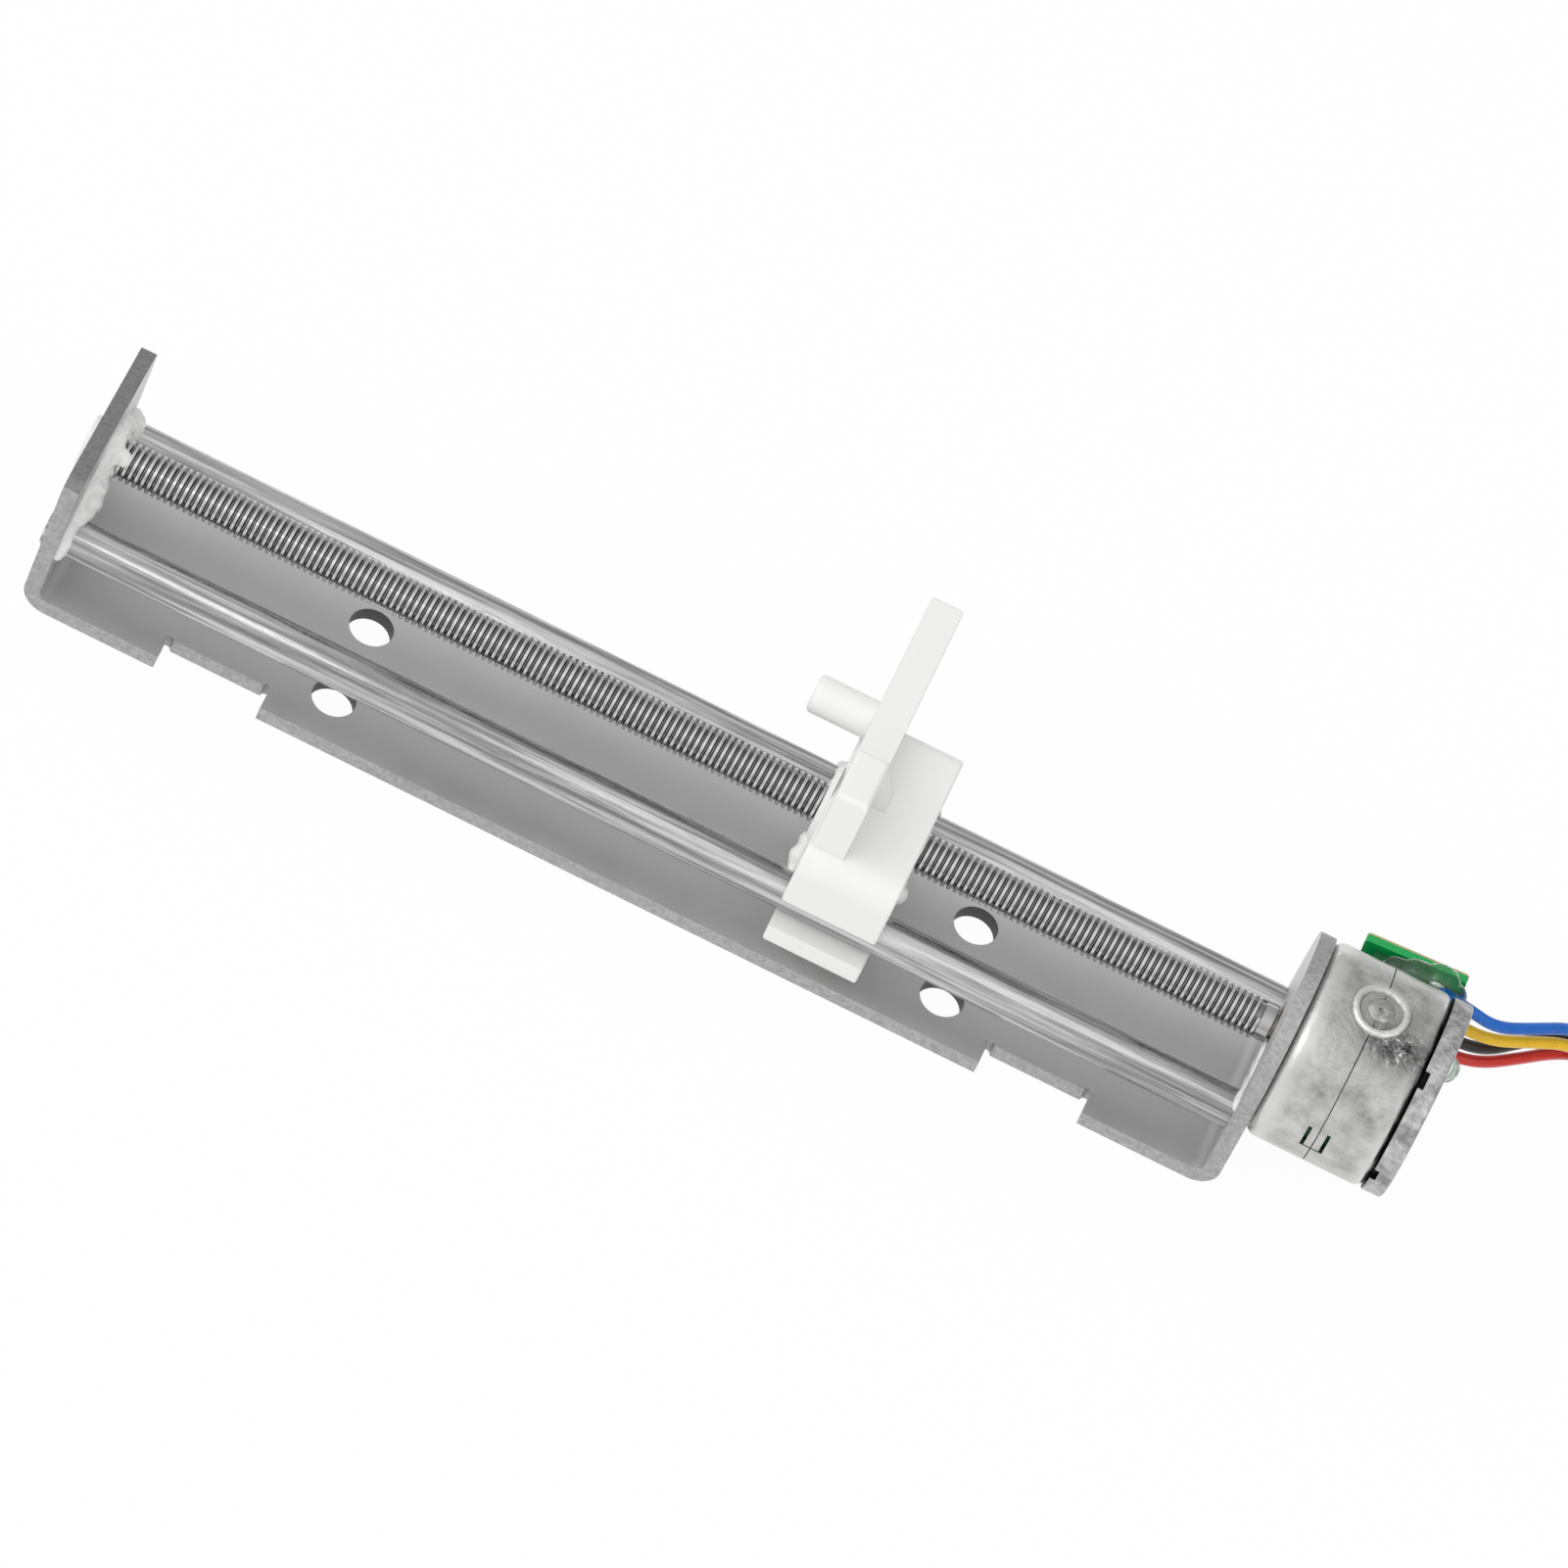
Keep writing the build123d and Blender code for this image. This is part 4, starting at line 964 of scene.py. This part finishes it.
class AddLeadScrew(bpy.types.Operator):
    """Replace the plain screw with a turned bar and a rolled thread"""

    bl_idname = "slide.add_lead_screw"
    bl_label = "Lead Screw"

    def execute(self, context):
        # Radii and places along X, in millimetres.
        outer = 1.5
        core = outer - sizes().thread_depth / MM - 0.02
        journal, chamfer = 1.0, 0.15
        collar, collar_end = 1.34, 45.6
        start, end = -45.2, 44.5
        low_end, high_end = -47.05, 57.5
        bm = bmesh.new()
        lathe(bm, (
            (low_end, 0), (low_end, journal - chamfer), (low_end + chamfer, journal), (start, journal),
            (start, core), (end + 0.1, core), (end + 0.1, collar - 0.08), (end + 0.17, collar),
            (collar_end - 0.08, collar), (collar_end, collar - 0.07), (collar_end, journal),
            (high_end - chamfer, journal), (high_end, journal - chamfer), (high_end, 0),
        ), 48)
        bmesh.ops.recalc_face_normals(bm, faces=bm.faces)
        screw = bpy.data.objects.new("screw_thread", mesh_from("screw_bar", bm))
        bpy.context.scene.collection.objects.link(screw)
        tree = self.thread_tree()
        grow = screw.modifiers.new("Thread", "NODES")
        grow.node_group = tree
        values = {
            "Pitch": sizes().thread_pitch,
            "Outer Radius": outer * MM,
            "Depth": sizes().thread_depth,
            "Start": start * MM,
            "Length": (end - start) * MM,
            "Axis Height": AXIS_Z * MM,
            "Finish": finish_of("thread"),
        }
        for item in tree.interface.items_tree:
            if item.in_out == "INPUT" and item.name in values:
                grow[item.identifier] = values[item.name]
        shape = bpy.data.meshes.new_from_object(screw.evaluated_get(context.evaluated_depsgraph_get()))
        screw.modifiers.remove(grow)
        screw.data = shape
        shape.shade_smooth()
        shape.set_sharp_from_angle(angle=math.radians(35))
        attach(screw, "rotor")
        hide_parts("lead_screw")
        return {"FINISHED"}

    def thread_tree(self):
        """One ridge swept along a spiral, joined to the bar that comes in."""
        tree = bpy.data.node_groups.new("Rolled Thread", "GeometryNodeTree")
        face = tree.interface
        face.new_socket("Bar", in_out="INPUT", socket_type="NodeSocketGeometry")
        for name in ("Pitch", "Outer Radius", "Depth", "Start", "Length", "Axis Height"):
            face.new_socket(name, in_out="INPUT", socket_type="NodeSocketFloat")
        face.new_socket("Finish", in_out="INPUT", socket_type="NodeSocketMaterial")
        face.new_socket("Screw", in_out="OUTPUT", socket_type="NodeSocketGeometry")
        into = node(tree, "NodeGroupInput").outputs
        turns = node(tree, "ShaderNodeMath", links={0: into["Length"], 1: into["Pitch"]}, operation="DIVIDE")
        root = node(
            tree, "ShaderNodeMath", links={0: into["Outer Radius"], 1: into["Depth"]}, operation="SUBTRACT"
        )
        spiral = node(
            tree, "GeometryNodeCurveSpiral", {"Resolution": 28},
            {"Rotations": turns, "Start Radius": root, "End Radius": root, "Height": into["Length"]},
        )
        upright = node(tree, "GeometryNodeSetCurveNormal", links={"Curve": spiral}, mode="Z_UP")
        # The ridge's section: a narrow crest on a wider foot that is sunk a little into the bar.
        foot = node(tree, "ShaderNodeMath", {1: 0.92}, {0: into["Pitch"]}, operation="MULTIPLY")
        crest = node(tree, "ShaderNodeMath", {1: 0.42}, {0: into["Pitch"]}, operation="MULTIPLY")
        height = node(tree, "ShaderNodeMath", {1: 1.2}, {0: into["Depth"]}, operation="MULTIPLY")
        ridge = node(
            tree, "GeometryNodeCurvePrimitiveQuadrilateral", {"Offset": 0.0},
            {"Height": height, "Bottom Width": foot, "Top Width": crest}, mode="TRAPEZOID",
        )
        lift = node(tree, "ShaderNodeMath", {1: 0.4}, {0: into["Depth"]}, operation="MULTIPLY")
        offset = node(tree, "ShaderNodeCombineXYZ", links={"Y": lift})
        placed = node(tree, "GeometryNodeTransform", links={"Geometry": ridge, "Translation": offset})
        turned = node(
            tree, "GeometryNodeTransform", {"Rotation": (0, 0, math.pi / 2)}, {"Geometry": placed}
        )
        sweep = node(
            tree, "GeometryNodeCurveToMesh", {"Fill Caps": True}, {"Curve": upright, "Profile Curve": turned}
        )
        where = node(tree, "ShaderNodeCombineXYZ", links={"X": into["Start"], "Z": into["Axis Height"]})
        laid = node(
            tree, "GeometryNodeTransform", {"Rotation": (0, math.pi / 2, 0)},
            {"Geometry": sweep, "Translation": where},
        )
        both = node(tree, "GeometryNodeJoinGeometry", links={0: laid})
        tree.links.new(into["Bar"], both.inputs[0])
        real = node(tree, "GeometryNodeRealizeInstances", links={"Geometry": both})
        painted = node(tree, "GeometryNodeSetMaterial", links={"Geometry": real, "Material": into["Finish"]})
        node(tree, "NodeGroupOutput", links={"Screw": painted})
        return tree


class DressBracket(bpy.types.Operator):
    """Finish the bracket, the guide rods and the end bush"""

    bl_idname = "slide.dress_bracket"
    bl_label = "Bracket and Rods"

    def execute(self, context):
        dress("zinc", "bracket")
        dress("rod", "guide_rod_near", "guide_rod_far")
        dress("acetal", "end_bush")
        return {"FINISHED"}


class DressMotor(bpy.types.Operator):
    """Finish the motor's can, stator, rotor and bearings"""

    bl_idname = "slide.dress_motor"
    bl_label = "Motor"

    def execute(self, context):
        dress("can", "stator_cup_front", "stator_cup_rear", "pole_plate_front", "pole_plate_rear")
        dress("disc", "rear_plate")
        dress("nylon", "rotor_hub")
        dress("bobbin", "bobbin_front", "bobbin_rear")
        dress("winding", "winding_front", "winding_rear")
        dress("bronze", "front_bearing", "rear_bearing")
        dress("film", "thrust_washer_front", "thrust_washer_rear")
        dress("ferrite", "rotor_magnet")
        dress("rod", "preload_spring")
        return {"FINISHED"}


class DressBoard(bpy.types.Operator):
    """Finish the wiring board, its pins and its solder"""

    bl_idname = "slide.dress_board"
    bl_label = "Wiring Board"

    def execute(self, context):
        dress("board", "wiring_board")
        dress("solder", "terminal_pins", "solder_joints")
        return {"FINISHED"}


class DressSlider(bpy.types.Operator):
    """Finish the moulded slider"""

    bl_idname = "slide.dress_slider"
    bl_label = "Slider"

    def execute(self, context):
        dress("acetal", "slider")
        return {"FINISHED"}


class AddStakeRing(bpy.types.Operator):
    """Add the round stake that joins the two cups, pressed across their seam on top of the can"""

    bl_idname = "slide.add_stake_ring"
    bl_label = "Stake Ring"

    def execute(self, context):
        # (radius, height over the can) from the middle of the ring outwards, then down into the can's wall.
        sunk = -0.3
        profile = (
            (0.12, -0.08), (0.2, 0.03), (0.3, 0.06), (0.9, 0.05), (1.02, -0.03), (1.12, -0.1), (1.4, -0.12),
            (1.55, 0.04), (1.7, 0.17), (1.85, 0.2), (2.0, 0.18), (2.12, 0.1), (2.22, 0.0), (2.26, -0.06),
            (2.26, sunk),
        )
        steps = 72
        centre_x = 51.75
        facing = math.radians(94.0)
        bm = bmesh.new()

        def on_can(radius, turn, height):
            angle = facing + radius * math.sin(turn) / CAN_RADIUS
            reach = CAN_RADIUS + height
            x = centre_x + radius * math.cos(turn)
            y, z = reach * math.cos(angle), AXIS_Z + reach * math.sin(angle)
            return bm.verts.new((x * MM, y * MM, z * MM))

        middle = on_can(0, 0, -0.06)
        under = on_can(0, 0, sunk)
        rings = [[on_can(r, 2 * math.pi * i / steps, h) for i in range(steps)] for r, h in profile]
        bridge(bm, [[middle] * steps] + rings + [[under] * steps])
        bmesh.ops.recalc_face_normals(bm, faces=bm.faces)
        new_object("stake_ring", mesh_from("stake_ring", bm, 60), "frame", finish_of("stake"))
        return {"FINISHED"}


class AddGlue(bpy.types.Operator):
    """Add the clear adhesive over the board's upper corner and the drop on the end disc"""

    bl_idname = "slide.add_glue"
    bl_label = "Adhesive"

    def execute(self, context):
        bead = (
            (52.2, 7.1, 13.4, 1.5, 0.9, 0.9), (53.6, 7.3, 13.6, 1.7, 1.1, 1.1),
            (55.0, 7.6, 13.6, 1.6, 1.3, 1.3), (56.0, 7.5, 12.9, 1.3, 1.1, 1.3),
            (56.3, 7.7, 11.9, 1.1, 0.8, 1.4),
        )
        lump("glue_bead", bead, 0.1, 0.04, "frame", finish_of("glue"))
        drop = (
            (57.9, 2.7, 11.2, 0.8, 1.0, 1.0), (58.1, 3.3, 10.5, 0.95, 1.0, 1.1),
            (57.9, 3.9, 9.7, 0.7, 0.8, 1.0),
        )
        lump("glue_drop", drop, 0.1, 0.06, "frame", finish_of("glue"))
        return {"FINISHED"}


class AddLeadPads(bpy.types.Operator):
    """Add the solder that joins each lead to the board's inner face"""

    bl_idname = "slide.add_lead_pads"
    bl_label = "Lead Pads"

    def execute(self, context):
        balls = []
        # A flat oval drop each, set a little towards the board and the motor's middle.
        for route in LEAD_ROUTES.values():
            x, y, z = (value / MM for value in route[0])
            balls.append((x - 0.2, y + 0.2, z, 0.75, 0.35, 0.55))
        lump("lead_pads", balls, 0.07, 0.02, "frame", finish_of("solder"))
        return {"FINISHED"}


class AddGrease(bpy.types.Operator):
    """Add the white grease round the screw and the rods, on both end plates and on the slider"""

    bl_idname = "slide.add_grease"
    bl_label = "Grease"

    def execute(self, context):
        plate = (
            (-45.7, 0.0, AXIS_Z, 1.15, 2.5, 2.4), (-45.7, -2.6, 8.6, 1.25, 1.7, 1.9),
            (-45.7, -4.2, 7.9, 1.0, 1.4, 1.3), (-45.7, 2.9, 8.3, 0.9, 2.3, 2.0),
            (-45.6, ROD_Y, 6.7, 1.3, 2.0, 2.0), (-45.7, -5.2, 6.4, 0.8, 2.0, 2.0),
            (-44.9, -0.7, 11.2, 1.3, 0.7, 0.6),
        )
        lump("grease_low_plate", plate, 0.12, 0.3, "frame", finish_of("grease"))
        motor = (
            (45.8, -2.9, 8.6, 0.22, 1.3, 1.1), (45.8, -3.9, 7.6, 0.3, 0.9, 1.0),
            (45.75, -5.2, 7.8, 0.3, 1.3, 0.5), (45.8, -1.9, 9.4, 0.2, 0.9, 0.8),
        )
        lump("grease_motor_plate", motor, 0.09, 0.1, "frame", finish_of("grease"))
        slider = [
            (10.4, -2.6, 8.6, 0.5, 0.9, 0.9), (10.35, -3.3, 7.9, 0.65, 0.9, 1.0),
            (10.45, -4.0, 7.1, 0.45, 0.8, 0.9), (10.5, -1.3, 7.4, 0.35, 1.0, 0.8),
            (10.45, 3.2, 8.3, 0.4, 0.9, 1.0), (17.95, -2.6, 8.1, 0.65, 0.8, 0.9),
            (17.95, -1.5, 7.6, 0.35, 0.9, 0.7), (17.95, 3.1, 8.0, 0.3, 0.9, 0.8),
        ]
        slider += self.collar(10.5, 1.7, 0.45)
        slider += self.collar(18.0, 1.65, 0.28)
        lump("grease_slider", slider, 0.1, 0.12, "carriage", finish_of("grease"))
        return {"FINISHED"}

    def collar(self, x, radius, size):
        """Uneven blobs in a ring round the far guide rod."""
        count = 12
        blobs = []
        for i in range(count):
            turn = 2 * math.pi * i / count
            swell = 1 + 0.22 * math.sin(3 * turn + ROD_Y) + 0.14 * math.sin(7 * turn + 2 * x)
            reach = radius * (0.94 + 0.06 * swell)
            y, z = ROD_Y + reach * math.cos(turn), ROD_Z + reach * math.sin(turn)
            blobs.append((x, y, z, size * swell, 0.9 * size, 0.9 * size))
        return blobs


class AddCoilTie(bpy.types.Operator):
    """Add the band that ties the coil of leads, with the head that it is pulled through"""

    bl_idname = "slide.add_coil_tie"
    bl_label = "Coil Tie"

    def execute(self, context):
        low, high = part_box("lead_tie")
        thick = 0.2 * MM
        bend = 0.5 * MM
        inner = bend - thick
        outline = []
        for cx, cz, first in (
            (high[0] - bend, high[2] - bend, 0), (low[0] + bend, high[2] - bend, 90),
            (low[0] + bend, low[2] + bend, 180), (high[0] - bend, low[2] + bend, 270),
        ):
            for step in range(7):
                turn = math.radians(first + 15 * step)
                outline.append((cx, cz, math.cos(turn), math.sin(turn)))
        bm = bmesh.new()
        loops = []
        for cx, cz, dx, dz in outline:
            ring = []
            for reach, y in ((bend, low[1]), (bend, high[1]), (inner, high[1]), (inner, low[1])):
                ring.append(bm.verts.new((cx + reach * dx, y, cz + reach * dz)))
            loops.append(ring)
        bridge(bm, loops + loops[:1])
        # The head, on the outer side of the coil.
        middle = Vector((high[0] - 0.02 * MM, (low[1] + high[1]) / 2, (low[2] + high[2]) / 2))
        head_size = (0.5 * MM, 2.0 * MM, 1.1 * MM, 1)
        head = Matrix.Translation(middle) @ Matrix.Diagonal(head_size)
        made = bmesh.ops.create_cube(bm, size=1, matrix=head)
        edges = {edge for vertex in made["verts"] for edge in vertex.link_edges}
        bmesh.ops.bevel(bm, geom=list(edges), offset=0.12 * MM, segments=3, profile=0.5, affect="EDGES")
        bmesh.ops.recalc_face_normals(bm, faces=bm.faces)
        shape = mesh_from("coil_tie", bm, 40)
        band = new_object("coil_tie", shape, "frame", finish_of("film"))
        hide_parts("lead_tie")
        return {"FINISHED"}


class SlidePanel(bpy.types.Panel):
    """Lists the slide's pieces, sizes and colours"""

    bl_idname = "VIEW3D_PT_stepper_slide"
    bl_label = "Stepper Slide"
    bl_space_type = "VIEW_3D"
    bl_region_type = "UI"
    bl_category = "Slide"

    def draw(self, context):
        for operator in OPERATORS:
            self.layout.operator(operator.bl_idname)
        for group in (context.scene.slide_sizes, context.scene.slide_colours):
            box = self.layout.box()
            for key in group.__annotations__:
                box.prop(group, key)


OPERATORS = (
    AddStage, AddLeads, AddCoilTie, AddLeadScrew, DressBracket, DressMotor, AddStakeRing, DressBoard,
    AddLeadPads, AddGlue, DressSlider, AddGrease,
)
CLASSES = (SlideSizes, SlideColours) + OPERATORS + (SlidePanel,)


def register():
    for cls in CLASSES:
        bpy.utils.register_class(cls)
    bpy.types.Scene.slide_sizes = bpy.props.PointerProperty(type=SlideSizes)
    bpy.types.Scene.slide_colours = bpy.props.PointerProperty(type=SlideColours)


def unregister():
    del bpy.types.Scene.slide_colours
    del bpy.types.Scene.slide_sizes
    for cls in reversed(CLASSES):
        bpy.utils.unregister_class(cls)


def main():
    register()
    for operator in OPERATORS:
        group, name = operator.bl_idname.split(".")
        getattr(getattr(bpy.ops, group), name)()


if __name__ == "__main__":
    main()
